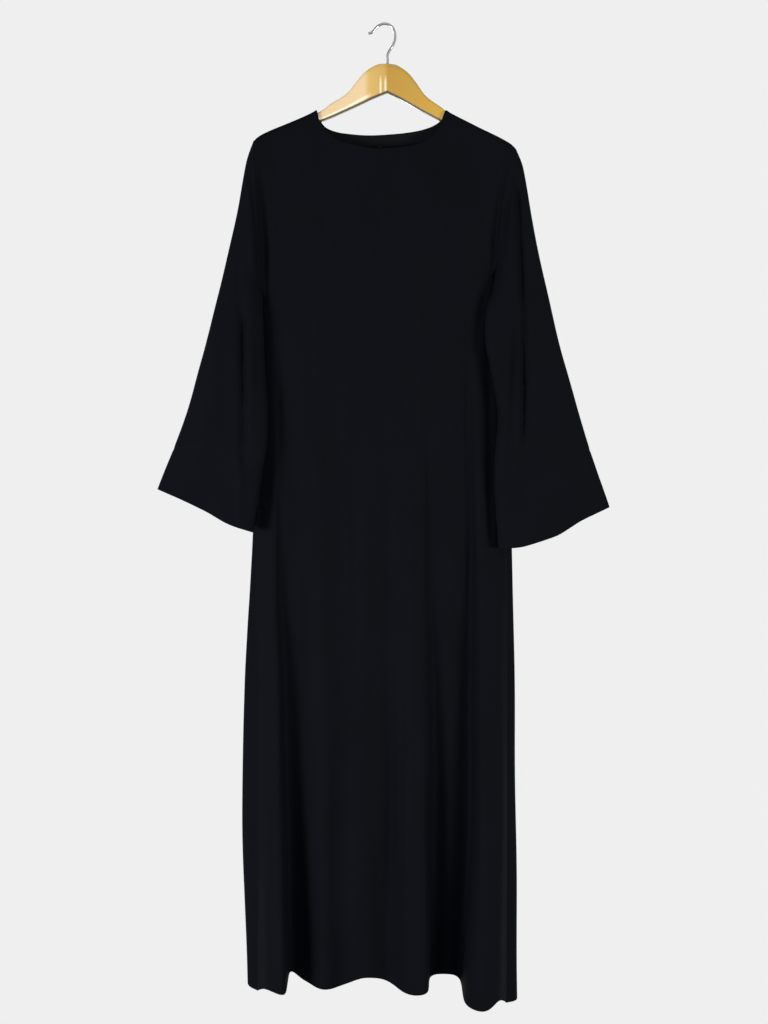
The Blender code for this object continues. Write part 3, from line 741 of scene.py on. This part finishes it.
frontPanel = {
    "side": -1,
    "folds": {
        "left seam": leftSeam,
        "ridge 1 left": (-190, -186.5, -193.1, -186.8, -184, -52, 700, 1507.6, 2),
        "ridge 1 right": (-178, -176, -171, -162, -153.5, -74, 640, 1511.7, 3),
        "valley 1 left": (-163, -165, -161, -154, -149, -4, 400, 1490.5, 2),
        "valley 1 right": (-141, -145.7, -139.7, -134, -125.8, -12, 500, 1506.5, 2),
        "ridge 2": (-109, -111.3, -101.4, -98, -97.7, -46, 435, 1510.6, 4),
        "beside ridge 2": (-104, -100, -88, -84, -83, -41, 450, 1510.8, 2),
        "valley 2": (-69, -69, -65.7, -65.4, -65.7, -26, 560, 1508.8, 2),
        "ridge 3": (-35, -34.5, -32.8, -32.7, -31.2, -34, 620, 1495.3, 2),
        "valley 3": (-1, 1.6, 4.7, 3, 0, -18, 620, 1502.6, 2),
        "ridge 4 left": (30, 36, 39, 35.7, 38.5, -56, 590, 1515.9, 2),
        "ridge 4 right": (52, 54.8, 54.6, 60.6, 65.5, -62, 640, 1512.1, 3),
        "valley 4": (72, 76.8, 78.5, 77, 71.5, -2, 500, 1501, 2),
        "beside ridge 5": (91, 90, 92, 91.5, 89, -8, 600, 1497, 4),
        "ridge 5": (97.5, 97.1, 100.2, 101, 99, -14, 750, 1495.6, 2),
        "valley 5": (122, 123.8, 133, 135, 118, -2, 435, 1504.3, 3),
        "ridge 6 left": (143, 138.5, 142, 140, 123.6, -54, 480, 1529, 2),
        "ridge 6": (163, 152, 154.4, 154, 152.7, -80, 520, 1534.7, 2),
        "ridge 6 right": (187, 165, 179.7, 181, 175.1, -66, 600, 1520.1, 3),
        "right seam": rightSeam,
    },
    "neckAcross": (-107.8, -106.5, -105.2, -104, -86.4, -58, -8, 42.4, 70.7, 84, 91, 92.6, 94.2, 95.9),
    "neckDown": (137.8, 140.4, 145, 152, 177, 191.4, 199.3, 194.6, 182, 164, 148.5, 143.8, 140, 137.6),
    "creases": {
        "beside the left sleeve": (-168, 460, -167, 1040, 1, -3.4, 6),
        "beside the right sleeve": (163, 440, 166, 860, 1, -2.4, 7),
        "beside the left armhole": (-196, 225, -189, 430, 0, -5.5, 8),
        "beside the right armhole": (192, 230, 171, 395, 0, -5.5, 8),
        "fold beside ridge 1": (-143, 540, -138, 1200, 0, -3.8, 12),
        "dark side of ridge 4": (68, 540, 71, 980, 0, -2.6, 7),
        "dark side of ridge 6": (130, 470, 132, 930, 1, -3.5, 6),
        "middle of the skirt": (7, 640, 8, 1440, 0, -3.0, 7),
        "below the neck": (-9.5, 270, -9.5, 420, 1, -1.1, 6),
        "left of the chest": (-49, 300, -50, 430, -2, -0.8, 7),
        "right of the chest": (24, 400, 25, 620, 2, -1.2, 6),
        "ridge on the waist": (55, 400, 53, 640, -2, 1.1, 8),
        "outer chest": (-118, 330, -122, 720, 3, -1.0, 8),
        "hip left": (-52, 640, -50, 1080, 2, -1.6, 7),
        "hip right": (111, 560, 113, 900, -2, 1.2, 6),
        "skirt middle": (-14, 900, -10, 1380, 3, 1.0, 8),
        "skirt right": (27, 980, 22, 1450, 2, -1.3, 6),
        "skirt left": (-80, 1060, -84, 1480, 3, -1.2, 7),
        "left shoulder": (-196, 225, -176, 420, 4, 1.2, 9),
        "right shoulder": (181, 222, 158, 420, -4, 1.2, 9),
        "pull from the left underarm": (-185, 430, -150, 560, 5, -1.2, 7),
        "pull from the right underarm": (168, 400, 140, 540, -5, -1.2, 7),
    },
    "waves": ((37, 900, 0.3, 0.22), (23, -1300, 1.9, 0.14), (71, 410, 4.1, 0.35), (140, 260, 2.0, 0.4)),
}

backPanel = {
    "side": 1,
    "folds": {
        "left seam": (*leftSeam[:-1], 1),
        "left side fold": (-196, -182, -214.2, -229.8, -220, 6, 480, 1516, 2),
        "ridge 1": (-183, -171, -190, -200, -196, 30, 650, 1494, 2),
        "valley 1": (-163, -153, -163, -168, -170, 15, 560, 1490, 2),
        "ridge 2": (-140, -132, -138, -139, -137, 29, 700, 1494, 2),
        "valley 2": (-109, -106, -108, -108, -109, 17, 600, 1489, 4),
        "beside valley 2": (-102.5, -99, -101, -101, -102, 20, 640, 1489, 2),
        "ridge 3": (-76, -72, -78, -80, -82, 28, 820, 1493, 2),
        "valley 3": (-42, -40, -46, -49, -52, 16, 640, 1488, 2),
        "ridge 4": (-6, -8, -10, -12, -14, 27, 900, 1492, 2),
        "valley 4": (28, 24, 24, 20, 18, 15, 560, 1487, 2),
        "ridge 5": (62, 56, 58, 56, 53, 30, 760, 1493, 2),
        "beside valley 5": (90, 84, 84, 84, 82, 21, 640, 1490, 4),
        "valley 5": (97.5, 90, 92, 92, 90, 18, 640, 1489, 2),
        "ridge 6": (124, 112, 122, 128, 126, 28, 700, 1493, 2),
        "valley 6": (150, 130, 146, 154, 157, 15, 540, 1490, 2),
        "ridge 7": (178, 148, 170, 185, 188, 29, 620, 1496, 2),
        "right side fold": (194, 161, 204.4, 210, 212, 4, 480, 1541, 1),
        "right seam": rightSeam,
    },
    "neckAcross": (-107.4, -105.8, -104, -102.5, -94, -83, -66, -25, 20, 51, 68, 80, 90, 92, 94, 95.6),
    "neckDown": (138.2, 140.4, 144, 150, 161.5, 167, 171, 174.2, 171.6, 167.2, 162.5)
    + (157, 148.5, 143.8, 140.4, 138),
    "creases": {
        "below the neck": (-4, 240, -8, 520, 3, -1.2, 9),
        "left blade": (-92, 250, -104, 560, 4, -1.3, 10),
        "right blade": (84, 250, 92, 560, -4, -1.3, 10),
        "left waist": (-60, 480, -64, 900, -3, 1.2, 9),
        "right waist": (52, 500, 44, 960, 3, 1.3, 9),
        "skirt left": (-26, 900, -30, 1430, 2, -1.2, 8),
        "skirt right": (74, 940, 78, 1440, -2, -1.2, 8),
        "left side": (-150, 700, -152, 1400, 3, 1.2, 8),
        "right side": (138, 720, 142, 1420, 3, 1.1, 8),
    },
    "waves": ((41, 900, 1.3, 0.22), (27, -1200, 0.4, 0.14), (80, 430, 3.1, 0.35), (150, 280, 0.6, 0.4)),
}

# Each section: the places of the outer and inner folds, how far each lies towards the viewer, half the
# depth, and how far the edge bows down at a quarter, a half and three quarters of the way across
sectionKeys = (
    ("outer", "outerDown", "inner", "innerDown", "outerForward", "innerForward", "half")
    + ("bow1", "bow2", "bow3")
)
leftSleeve = {
    "way": -1,
    "sections": (
        (-216, 217, -191.9, 438, 22, 9, 10, 0, 0, 0),
        (-230.5, 297, -192.3, 444, 23, 14, 11, 0, 0, 0),
        (-246, 369, -192, 452, 24, 18, 12, 0, 0, 0),
        (-261.2, 433, -191, 464, 25, 22, 13, 0, 0, 0),
        (-276.3, 493, -189, 500, 26, 25, 14, 0, 0, 0),
        (-291, 546, -186.5, 555, 27, 28, 15, 0, 0, 0),
        (-304.5, 594.6, -182.5, 610, 27, 31, 16, 0, 0, 0),
        (-317, 635, -183.5, 655, 28, 33, 16, -4, -5, 1.5),
        (-330.6, 671.1, -190.1, 701, 28, 34, 16, -8.5, -10, 3.5),
        (-356.1, 733.5, -205.3, 801.5, 28, 36, 17, -1, 0, 4),
    ),
    "frontCreases": {
        "inner fold": (-221, 420, -221, 716, 0, -6.5, 4.5),
        "beside the inner fold": (-230, 340, -226, 600, 2, -2.2, 6),
        "ridge beside it": (-210, 400, -209, 700, 1, 2.6, 6),
        "fold end": (-226, 680, -223, 736, 0, 4.5, 5),
        "cuff ridge": (-226, 716, -226, 790, 1, 1.6, 4),
        "beside the armhole": (-212, 240, -205, 410, 0, 4.5, 7),
        "outer swell": (-262, 470, -292, 690, 6, 1.6, 16),
        "shoulder fall": (-214, 240, -236, 420, 4, 1.5, 8),
        "elbow": (-268, 520, -206, 610, 8, -1.2, 9),
        "cuff hollow": (-290, 700, -296, 790, 3, -0.9, 12),
    },
    "backCreases": {
        "inner fold": (-228, 450, -226, 700, 2, -3.0, 7),
        "outer swell": (-258, 440, -290, 690, 5, 1.6, 15),
        "elbow": (-270, 540, -210, 600, -8, -1.2, 10),
        "cuff hollow": (-276, 700, -280, 790, 3, -0.9, 12),
    },
}

rightSleeve = {
    "way": 1,
    "sections": (
        (215, 226, 172.6, 401, 22, 9, 10, 0, 0, 0),
        (230, 310, 171.9, 406.5, 23, 15, 11, 0, 0, 0),
        (246.7, 394, 170.6, 414, 24, 21, 11, 0, 0, 0),
        (261.7, 460, 167, 430, 25, 26, 12, 0, 0, 0),
        (275.2, 516.4, 158.5, 456, 26, 29, 13, 0, 0, 0),
        (286.2, 557, 156, 497, 27, 30, 14, 0, 0, 0),
        (297.7, 597, 164.5, 552, 27, 31, 15, 0, 0, 0),
        (309, 636, 176, 626, 28, 32, 16, 0, 1, 2),
        (320.1, 672.6, 170, 716.5, 28, 34, 16, 1, 3.5, 7),
        (350.6, 761.7, 175.8, 827, 28, 36, 17, 4, 13.5, 11.5),
    ),
    "frontCreases": {
        "long fold, upper": (203, 228, 215, 460, 3, -6.5, 4.5),
        "long fold, lower": (216, 380, 214.5, 712, 1.5, -6.5, 4.5),
        "second fold": (205.5, 440, 188.5, 708, 0, -4.5, 4),
        "ridge between": (210, 500, 203, 700, 0, 2.4, 4),
        "light ridge": (192, 248, 200, 440, 2, 2.6, 6),
        "ridge outside the fold": (226, 420, 228, 690, 1, 1.6, 7),
        "fold end": (179, 716, 181, 742, 0, -2.0, 4),
        "cuff ridge": (190, 722, 192, 815, 1, 1.5, 6),
        "beside the armhole": (205, 240, 190, 385, 0, 4.5, 7),
        "outer swell": (252, 470, 284, 690, -5, 1.6, 16),
        "elbow": (176, 520, 236, 600, 6, -1.1, 9),
        "cuff hollow": (276, 716, 284, 800, 2, -0.9, 12),
    },
    "backCreases": {
        "inner fold": (212, 440, 206, 700, -2, -3.0, 7),
        "outer swell": (250, 450, 280, 690, -5, 1.6, 15),
        "elbow": (262, 540, 200, 610, 8, -1.2, 10),
        "cuff hollow": (262, 716, 266, 800, -3, -0.9, 12),
    },
}

sleeves = {
    "waves": ((46, 500, 0.8, 0.3), (90, 230, 2.6, 0.45), (29, -700, 1.1, 0.15)),
    "steps": 8,  # rings for each section, then for the cuff
    "cuffSteps": 16,
    "shapeOver": 4,  # sections from the armhole over which a ring takes the sleeve's own shape
    "creasesOver": (0.15, 1.1),  # sections from it where creases begin, and over how many they come in
    "frontShare": 1.6,  # how soon a surface that turns to the front takes the front's creases
    "cuffDip": 0.07,  # half the width of the dips along the seams, in sections
    "armholeDip": (0.1, 0.6),  # and the share of the depth that the armhole's dip has
}

chestRow = cloak["turnRows"] + cloak["chestRows"]


def shoulderAt(x):
    # The shoulder seam at x: how far down, its y and its slope. It leaves out the neck
    reach = cloak["shoulderAcross"][-1]
    across = np.linspace(-reach, reach, 857)
    down = curve(abs(across), cloak["shoulderAcross"], cloak["shoulderDown"])
    worldX, worldDown = onHanger(hangerWood["centre"] + across, down)
    for neck in cloak["neck"]:
        worldDown -= cloak["neckRaise"] * np.exp(-abs(worldX - neck) / cloak["neckRaiseReach"])
    y = armMiddle(across)
    ends = np.interp(cloak["neck"], worldX, y)
    inNeck = (worldX > cloak["neck"][0]) & (worldX < cloak["neck"][1])
    y[inNeck] = np.interp(worldX[inNeck], cloak["neck"], ends)
    slope = np.gradient(worldDown, worldX)
    return [np.interp(x, worldX, values) for values in (worldDown, y, slope)]


def panelColumns(panel):
    # How many folds from the left seam each column is, and what the folds' table says there
    folds = list(panel["folds"].values())
    lines = {key: [fold[i] for fold in folds] for i, key in enumerate(foldKeys)}
    index = np.arange(len(folds))
    each = cloak["columnsEach"]
    u = [i + np.arange(n * each) / (n * each) for i, n in zip(index[:-1], lines["columns"])]
    u = np.append(np.concatenate(u), index[-1])
    return u, {key: curve(u, index, lines[key]) for key in foldKeys[:-1]}


def panelTop(panel, top):
    # How far down the top edge is at each column, and whether it is the neck's edge there
    leftNeck, rightNeck = cloak["neck"]
    openNeck = (top > leftNeck + 1e-6) & (top < rightNeck - 1e-6)
    ends = shoulderAt(np.array(cloak["neck"]))[0]
    neckEdge = curve(
        top,
        (leftNeck, *panel["neckAcross"], rightNeck),
        (ends[0], *panel["neckDown"], ends[1]),
    )
    return np.where(openNeck, neckEdge, shoulderAt(top)[0]), openNeck


def panelRows(topDown, chestDown, hemDown):
    # The rows' heights: over the arm, on to the chest, then to the hem
    turn = cloak["turnRows"]
    radius = cloak["overArm"]
    rows = [topDown + radius * (1 - math.cos(k / turn * math.pi / 2)) for k in range(turn + 1)]
    start = rows[-1]
    count = cloak["chestRows"]
    rows += [start + (chestDown - start) * r / count for r in range(1, count + 1)]
    count = cloak["skirtRows"]
    rows += [chestDown + (hemDown - chestDown) * r / count for r in range(1, count + 1)]
    return np.array(rows)


def panelAcross(u, at, down, topDown, chestDown):
    # Where each point is across: along the armholes, and down the folds below the chest
    share = np.clip((down - topDown) / (chestDown - topDown), 0, 1)
    x = at["top"] + (at["chest"] - at["top"]) * share
    sides = ((-1, 0, u), (1, len(u) - 1, u[-1] - u))
    for way, j, distance in sides:
        downs, places = cloak["armholes"][way]
        top, chest = at["top"][j], at["chest"][j]
        begun = np.clip((down - topDown[j]) / (chestDown[j] - topDown[j]), 0, 1)
        bent = curve(down, (topDown[j], *downs, chestDown[j]), (top, *places, chest))
        pull = np.clip(1 - distance / cloak["armholePull"], 0, 1) ** 2
        x += (bent - top - (chest - top) * begun) * pull
    for j in range(len(u)):
        stations = (chestDown[j], cloak["hip"], cloak["low"], at["hemDown"][j])
        places = [at[key][j] for key in ("chest", "hip", "low", "hem")]
        x[chestRow:, j] = curve(down[chestRow:, j], stations, places)
    below = down - chestDown
    over, most, half = cloak["fullBelow"]
    full = cloak["underarmFull"] * ease(below / over) * np.exp(-(((below - most) / half) ** 2))
    for way, j, distance in sides:
        x += way * full * np.clip(1 - distance / cloak["fullBeside"], 0, 1)
    return x


def overTheArm(down, seamDown):
    # How level the cloth lies at each height as it turns over an arm, and how far it has turned
    level = np.clip(1 - (down - seamDown) / cloak["overArm"], 0, 1)
    return level, np.sqrt(1 - level**2)


def panelDepth(side, u, at, down, topDown, chestDown):
    # How far back each point is: over the arm, then the closed body, then the folds
    last = u[-1]
    radius = cloak["overArm"]
    seamDown, seamY, seamSlope = shoulderAt(at["top"])
    over = seamY + side * radius * overTheArm(down, seamDown)[1]
    middle = (at["chest"][0] + at["chest"][-1]) / 2
    width = (at["chest"][-1] - at["chest"][0]) / 2
    closing = np.sqrt(np.clip(1 - abs((at["chest"] - middle) / width) ** 4, 0, 1))
    face = cloak["chestFront"] if side < 0 else cloak["chestBack"]
    seamChest = cloak["seamChest"]
    atChest = seamChest + (face - seamChest) * closing
    fall = np.clip((down - topDown - radius) / (chestDown - topDown - radius), 0, 1)
    y = over + (atChest - over) * ease(fall)
    for j, distance in ((0, u), (len(u) - 1, last - u)):
        openHalf = (radius + cloak["armholeWiden"] * ease(2 * fall[:, j])) * np.sqrt(1 - fall[:, j] ** 4)
        mid = seamY[j] + (seamChest - seamY[j]) * ease(fall[:, j])
        edge = np.where(fall[:, j] > 0, mid + side * openHalf, y[:, j])
        y += (edge - y[:, j])[:, None] * np.clip(1 - distance / cloak["armholeOpen"], 0, 1) ** 2
    fold = at["y"] - np.where((u == 0) | (u == last), seamChest, atChest)
    return y + fold * growth((down - at["begins"]) / (at["hemDown"] - at["begins"]))


def softenFolds(grid, u, chestDown):
    # Below the chest the columns spread evenly along each row, and the folds' crests are softened
    last = u[-1]
    depthBelow = -grid[..., 2] - chestDown
    place = np.tile(u, (len(grid), 1))
    for r in range(chestRow + 1, len(grid)):
        length = np.append(0, np.cumsum(np.linalg.norm(np.diff(grid[r], axis=0), axis=1)))
        even = np.interp(np.linspace(0, length[-1], len(u)), length, u)
        place[r] = u + (even - u) * ease((r - chestRow) / cloak["spreadRows"])
        grid[r] = np.stack([np.interp(place[r], u, grid[r, :, axis]) for axis in range(3)], axis=1)
    fromSide = np.minimum(place, last - place)
    soft = cloak["softBy"] * ease(depthBelow / cloak["softBelow"]) * ease(fromSide / cloak["softBeside"])
    for _ in range(cloak["softer"]):
        between = (grid[:, :-2] + grid[:, 2:]) / 2
        grid[:, 1:-1] += (between - grid[:, 1:-1]) * soft[:, 1:-1, None]
    return fromSide


def panelOutward(grid, side, top):
    # The outward direction at each point, which follows the turn over the arm and the side seams
    normal = unit(np.cross(np.gradient(grid, axis=0), np.gradient(grid, axis=1)))
    if normal[chestRow, grid.shape[1] // 2, 1] * side < 0:
        normal = -normal
    seamDown, seamY, seamSlope = shoulderAt(top)
    down = -grid[..., 2]
    level, turned = overTheArm(down, seamDown)
    overNormal = np.stack([seamSlope * level, side * turned, level], axis=2)
    normal += (overNormal - normal) * ease(2 - (down - seamDown) / cloak["overArm"])[..., None]
    normal = unit(normal)
    normal[chestRow + 1 :, 0] = (-1, 0, 0)
    normal[chestRow + 1 :, -1] = (1, 0, 0)
    return normal


def panelLift(panel, grid, fromSide, topDown, chestDown, openNeck):
    # Creases and slack, which die out at the armholes and side seams, then the pull of the seams
    x, down = grid[..., 0], -grid[..., 2]
    below = down - topDown
    begins, over = cloak["calmBelow"]
    calm = ease(fromSide / cloak["calmBeside"]) * ease((below - begins) / over)
    lift = creaseHeight(x, down, panel["creases"]) + looseness(x, down, panel["waves"])
    half, over = cloak["dipBeside"]
    atSide = np.exp(-((fromSide / half) ** 2)) * ease(below / over)
    half, share = cloak["dipShoulder"]
    onShoulder = np.where(openNeck, 0, share * np.exp(-((below / half) ** 2)))
    lift = lift * calm - cloak["seamDip"] * np.maximum(atSide, onShoulder)
    if panel["side"] < 0:
        place, half = cloak["edgeAt"]
        begins, over = cloak["edgeBelow"]
        edge = np.exp(-(((fromSide - place) / half) ** 2)) * ease((down - chestDown - begins) / over)
        lift += cloak["seamEdge"] * edge
    lift[: chestRow + 1, 0] = lift[: chestRow + 1, -1] = 0
    return lift


def layPanel(panel):
    # The panel's outer face as a grid, its outward directions and where each column starts
    side = panel["side"]
    u, at = panelColumns(panel)
    left, right = cloak["underarms"]
    chestDown = left + (right - left) * u / u[-1]
    topDown, openNeck = panelTop(panel, at["top"])
    down = panelRows(topDown, chestDown, at["hemDown"])
    x = panelAcross(u, at, down, topDown, chestDown)
    y = panelDepth(side, u, at, down, topDown, chestDown)
    grid = np.stack([x, y, -down], axis=2)
    fromSide = softenFolds(grid, u, chestDown)
    normal = panelOutward(grid, side, at["top"])
    lift = panelLift(panel, grid, fromSide, topDown, chestDown, openNeck)
    return {"grid": grid + normal * lift[..., None], "normal": normal, "top": at["top"]}


def armholeRing(way):
    # The two panels' armhole edges as one closed ring
    column = 0 if way < 0 else -1
    fore, aft = (panel["grid"][: chestRow + 1, column] for panel in (front, back))
    top = (fore[0] + aft[0]) / 2
    low = (fore[-1] + aft[-1]) / 2
    return np.vstack([top, fore[1:-1], low, aft[-2:0:-1]])


def laySleeve(table, start):
    # The sleeve's sections from the armhole to the cuff's edge, each a ring of points
    sections = table["sections"]
    values = {key: [row[i] for row in sections] for i, key in enumerate(sectionKeys)}
    count = len(start) // 2
    top, low = start[0], start[count]
    first = dict.fromkeys(sectionKeys, 0)
    first.update(outer=top[0], outerDown=-top[2], inner=low[0], innerDown=-low[2])
    first.update(outerForward=-top[1], innerForward=-low[1], half=cloak["overArm"])
    stations = np.arange(len(sections) + 1)
    steps, cuffSteps = sleeves["steps"], sleeves["cuffSteps"]
    seam = (len(sections) - 1) * steps
    at = np.arange(seam + 1) / steps
    at = np.append(at, len(sections) - 1 + np.arange(1, cuffSteps + 1) / cuffSteps)
    shape = {key: curve(at, stations, [first[key], *values[key]]) for key in sectionKeys}
    even = (1 - np.cos(math.pi * np.arange(count + 1) / count)) / 2
    edges = (start[: count + 1], np.vstack([start[count:], start[:1]])[::-1])
    opening = first["innerDown"] - first["outerDown"]
    rings = []
    for r, place in enumerate(at):
        part = {key: shape[key][r] for key in sectionKeys}
        later = ease(place / sleeves["shapeOver"])
        layers = []
        for edge, side in zip(edges, (-1, 1)):
            begun = np.clip((-edge[:, 2] - first["outerDown"]) / opening, 0, 1)
            share = begun + (even - begun) * later
            bows = (0, part["bow1"], part["bow2"], part["bow3"], 0)
            bow = curve(share, (0, 0.25, 0.5, 0.75, 1), bows)
            x = part["outer"] + (part["inner"] - part["outer"]) * share
            down = part["outerDown"] + (part["innerDown"] - part["outerDown"]) * share + bow
            straight = first["outer"] + (first["inner"] - first["outer"]) * begun
            x = x + (edge[:, 0] - straight) * (1 - later) ** 2
            mid = -part["outerForward"] - (part["innerForward"] - part["outerForward"]) * share**2
            profile = np.sqrt(np.clip(1 - (2 * share - 1) ** 4, 0, 1))
            firstMid = top[1] + (low[1] - top[1]) * begun**2
            y = mid + side * part["half"] * profile
            y = y * later + (edge[:, 1] + mid - firstMid) * (1 - later)
            if place == 0:
                x, y, down = edge[:, 0], edge[:, 1], -edge[:, 2]
            layers.append(np.stack([x, y, -down], axis=1))
        rings.append(np.vstack([layers[0], layers[1][-2:0:-1]]))
    return addSleeveCreases(np.array(rings), at, seam, table)


def addSleeveCreases(rings, at, seam, table):
    # The sleeve with its creases, slack and dipped seams, its outward directions and its cuff's first ring
    centre = rings.mean(axis=1, keepdims=True)
    around = np.roll(rings, -1, axis=1) - np.roll(rings, 1, axis=1)
    normal = unit(np.cross(np.gradient(rings, axis=0), around))
    sign = np.sign(np.sum(normal * (rings - centre), axis=(1, 2)))[:, None, None]
    normal = normal * np.where(sign == 0, 1, sign)
    x, down = rings[..., 0], -rings[..., 2]
    lift = looseness(x, down, sleeves["waves"])
    for way, creases in ((-1, table["frontCreases"]), (1, table["backCreases"])):
        lift += creaseHeight(x, down, creases) * ease(way * normal[..., 1] * sleeves["frontShare"])
    begins, over = sleeves["creasesOver"]
    lift *= ease((at - begins) / over)[:, None]
    atCuff = np.exp(-(((at - at[seam]) / sleeves["cuffDip"]) ** 2))
    half, share = sleeves["armholeDip"]
    atArmhole = share * np.exp(-((at / half) ** 2))
    lift -= cloak["seamDip"] * (atCuff + atArmhole)[:, None]
    lift[0] = 0
    return rings + normal * lift[..., None], normal, seam


front = layPanel(frontPanel)
back = layPanel(backPanel)
frontCloth, backCloth = (
    clothPiece(
        f"{side}_cloth", panel["grid"], panel["normal"], hemmedCrepe, f"{side}_panel",
        cloak["thickness"]
    )
    for side, panel in (("front", front), ("back", back))
)
print("the body panels are made")

sleeveCloth = {}
cuffCloth = {}
sleeveGrids = {}
for hand, table in (("left", leftSleeve), ("right", rightSleeve)):
    rings, outward, seam = laySleeve(table, armholeRing(table["way"]))
    sleeveGrids[hand] = (rings[: seam + 1], outward[: seam + 1])
    for pieces, part, (grid, normal) in (
        (sleeveCloth, "sleeve", sleeveGrids[hand]),
        (cuffCloth, "cuff", (rings[seam:], outward[seam:])),
    ):
        pieces[hand] = clothPiece(
            f"{hand}_{part}_cloth", grid, normal, blackCrepe, f"{part}_{hand}",
            cloak["thickness"], joined=True
        )
print("the sleeves and cuffs are made")

neckFacing = {
    "rows": 25,
    "thickness": 0.6,
    "behind": 0.95,
    "inside": (9, 7),  # how far it stays from the neck's two ends
}


def makeFacing():
    top = back["top"]
    (leftNeck, rightNeck), (leftIn, rightIn) = cloak["neck"], neckFacing["inside"]
    inside = np.flatnonzero((top > leftNeck + leftIn) & (top < rightNeck - rightIn))
    part = np.ix_(range(neckFacing["rows"]), inside)
    grid = back["grid"][part] - neckFacing["behind"] * back["normal"][part]
    return clothPiece(
        "neck_facing_cloth", grid, back["normal"][part], blackFacing, "neck_facing",
        neckFacing["thickness"]
    )


facingCloth = makeFacing()

stitch = {"length": 2.3, "pitch": 3.3, "thick": 0.42, "proud": 0.1, "besideSeam": 2.0}


def rowAbove(grid, height):
    # The line on the cloth that runs a height above the lower edge
    step = np.linalg.norm(np.diff(grid, axis=0), axis=2)
    up = np.vstack([np.cumsum(step[::-1], axis=0)[::-1], np.zeros((1, grid.shape[1]))])
    line = []
    for j in range(grid.shape[1]):
        line.append([np.interp(height, up[::-1, j], grid[::-1, j, axis]) for axis in range(3)])
    return np.array(line)


def sewLine(name, line, outward, joined=False):
    # A row of lock stitches, each a slender bead laid along the line
    bpy.ops.mesh.primitive_ico_sphere_add(subdivisions=1, radius=0.5)
    pattern = bpy.context.object
    size = np.array((stitch["length"], stitch["thick"], stitch["thick"]))
    body = np.array([point.co for point in pattern.data.vertices]) * size
    sides = np.array([face.vertices for face in pattern.data.polygons])
    bpy.data.objects.remove(pattern, do_unlink=True)
    if joined:
        line, outward = np.vstack([line, line[:1]]), np.vstack([outward, outward[:1]])
    length = np.concatenate([[0], np.cumsum(np.linalg.norm(np.diff(line, axis=0), axis=1))])
    places = np.arange(stitch["pitch"], length[-1] - stitch["pitch"], stitch["pitch"])
    points, faces = [], []
    for n, place in enumerate(places):
        ends = [
            np.array([np.interp(place + d, length, line[:, axis]) for axis in range(3)])
            for d in (-stitch["length"] / 2, stitch["length"] / 2)
        ]
        away = unit(np.array([np.interp(place, length, outward[:, axis]) for axis in range(3)]))
        along = unit(ends[1] - ends[0])
        across = unit(np.cross(away, along))
        middle = (ends[0] + ends[1]) / 2 + away * stitch["proud"]
        turned = body[:, :1] * along + body[:, 1:2] * across + body[:, 2:] * away
        points.append((middle + turned) * mm)
        faces.append(sides + n * len(body))
    mesh = bpy.data.meshes.new(name)
    mesh.from_pydata(np.concatenate(points).tolist(), [], np.concatenate(faces).tolist())
    piece = bpy.data.objects.new(name, mesh)
    bpy.context.collection.objects.link(piece)
    selectOnly(piece)
    bpy.ops.object.shade_smooth()
    mesh.materials.append(blackThread)
    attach(piece, "root")
    return piece


frontHem, backHem = (
    sewLine(f"{side}_hem_stitches", rowAbove(panel["grid"], crepe["hemLine"]), panel["normal"][-3])
    for side, panel in (("front", front), ("back", back))
)
for hand, (upper, upperOut) in sleeveGrids.items():
    line = rowAbove(upper, stitch["besideSeam"])
    sewLine(f"{hand}_cuff_stitches", line, upperOut[-2], joined=True)


tack = {
    # The thread's points, and how thick it is at each beside its own thickness
    "line": ((-9.9, -2.6, -192.5), (-8.8, -3.0, -192.9), (-6, -2.9, -194.2), (-2.4, -2.7, -195.6)),
    "swell": (2.0, 1.4, 0.5, 0.4),
    "thick": 0.45,
}


def makeTack():
    # The end of a tacking thread that lies on the facing, just above the front's neck edge
    thread = layWire("tack_thread", tack["line"], tack["thick"], 3)
    for point, swell in zip(thread.data.splines[0].bezier_points, tack["swell"]):
        point.radius = swell
    thread = wireMesh(thread, greyThread)
    bpy.ops.object.shade_smooth()
    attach(thread, "root")
    return thread


tackThread = makeTack()
print("the sewing is done")
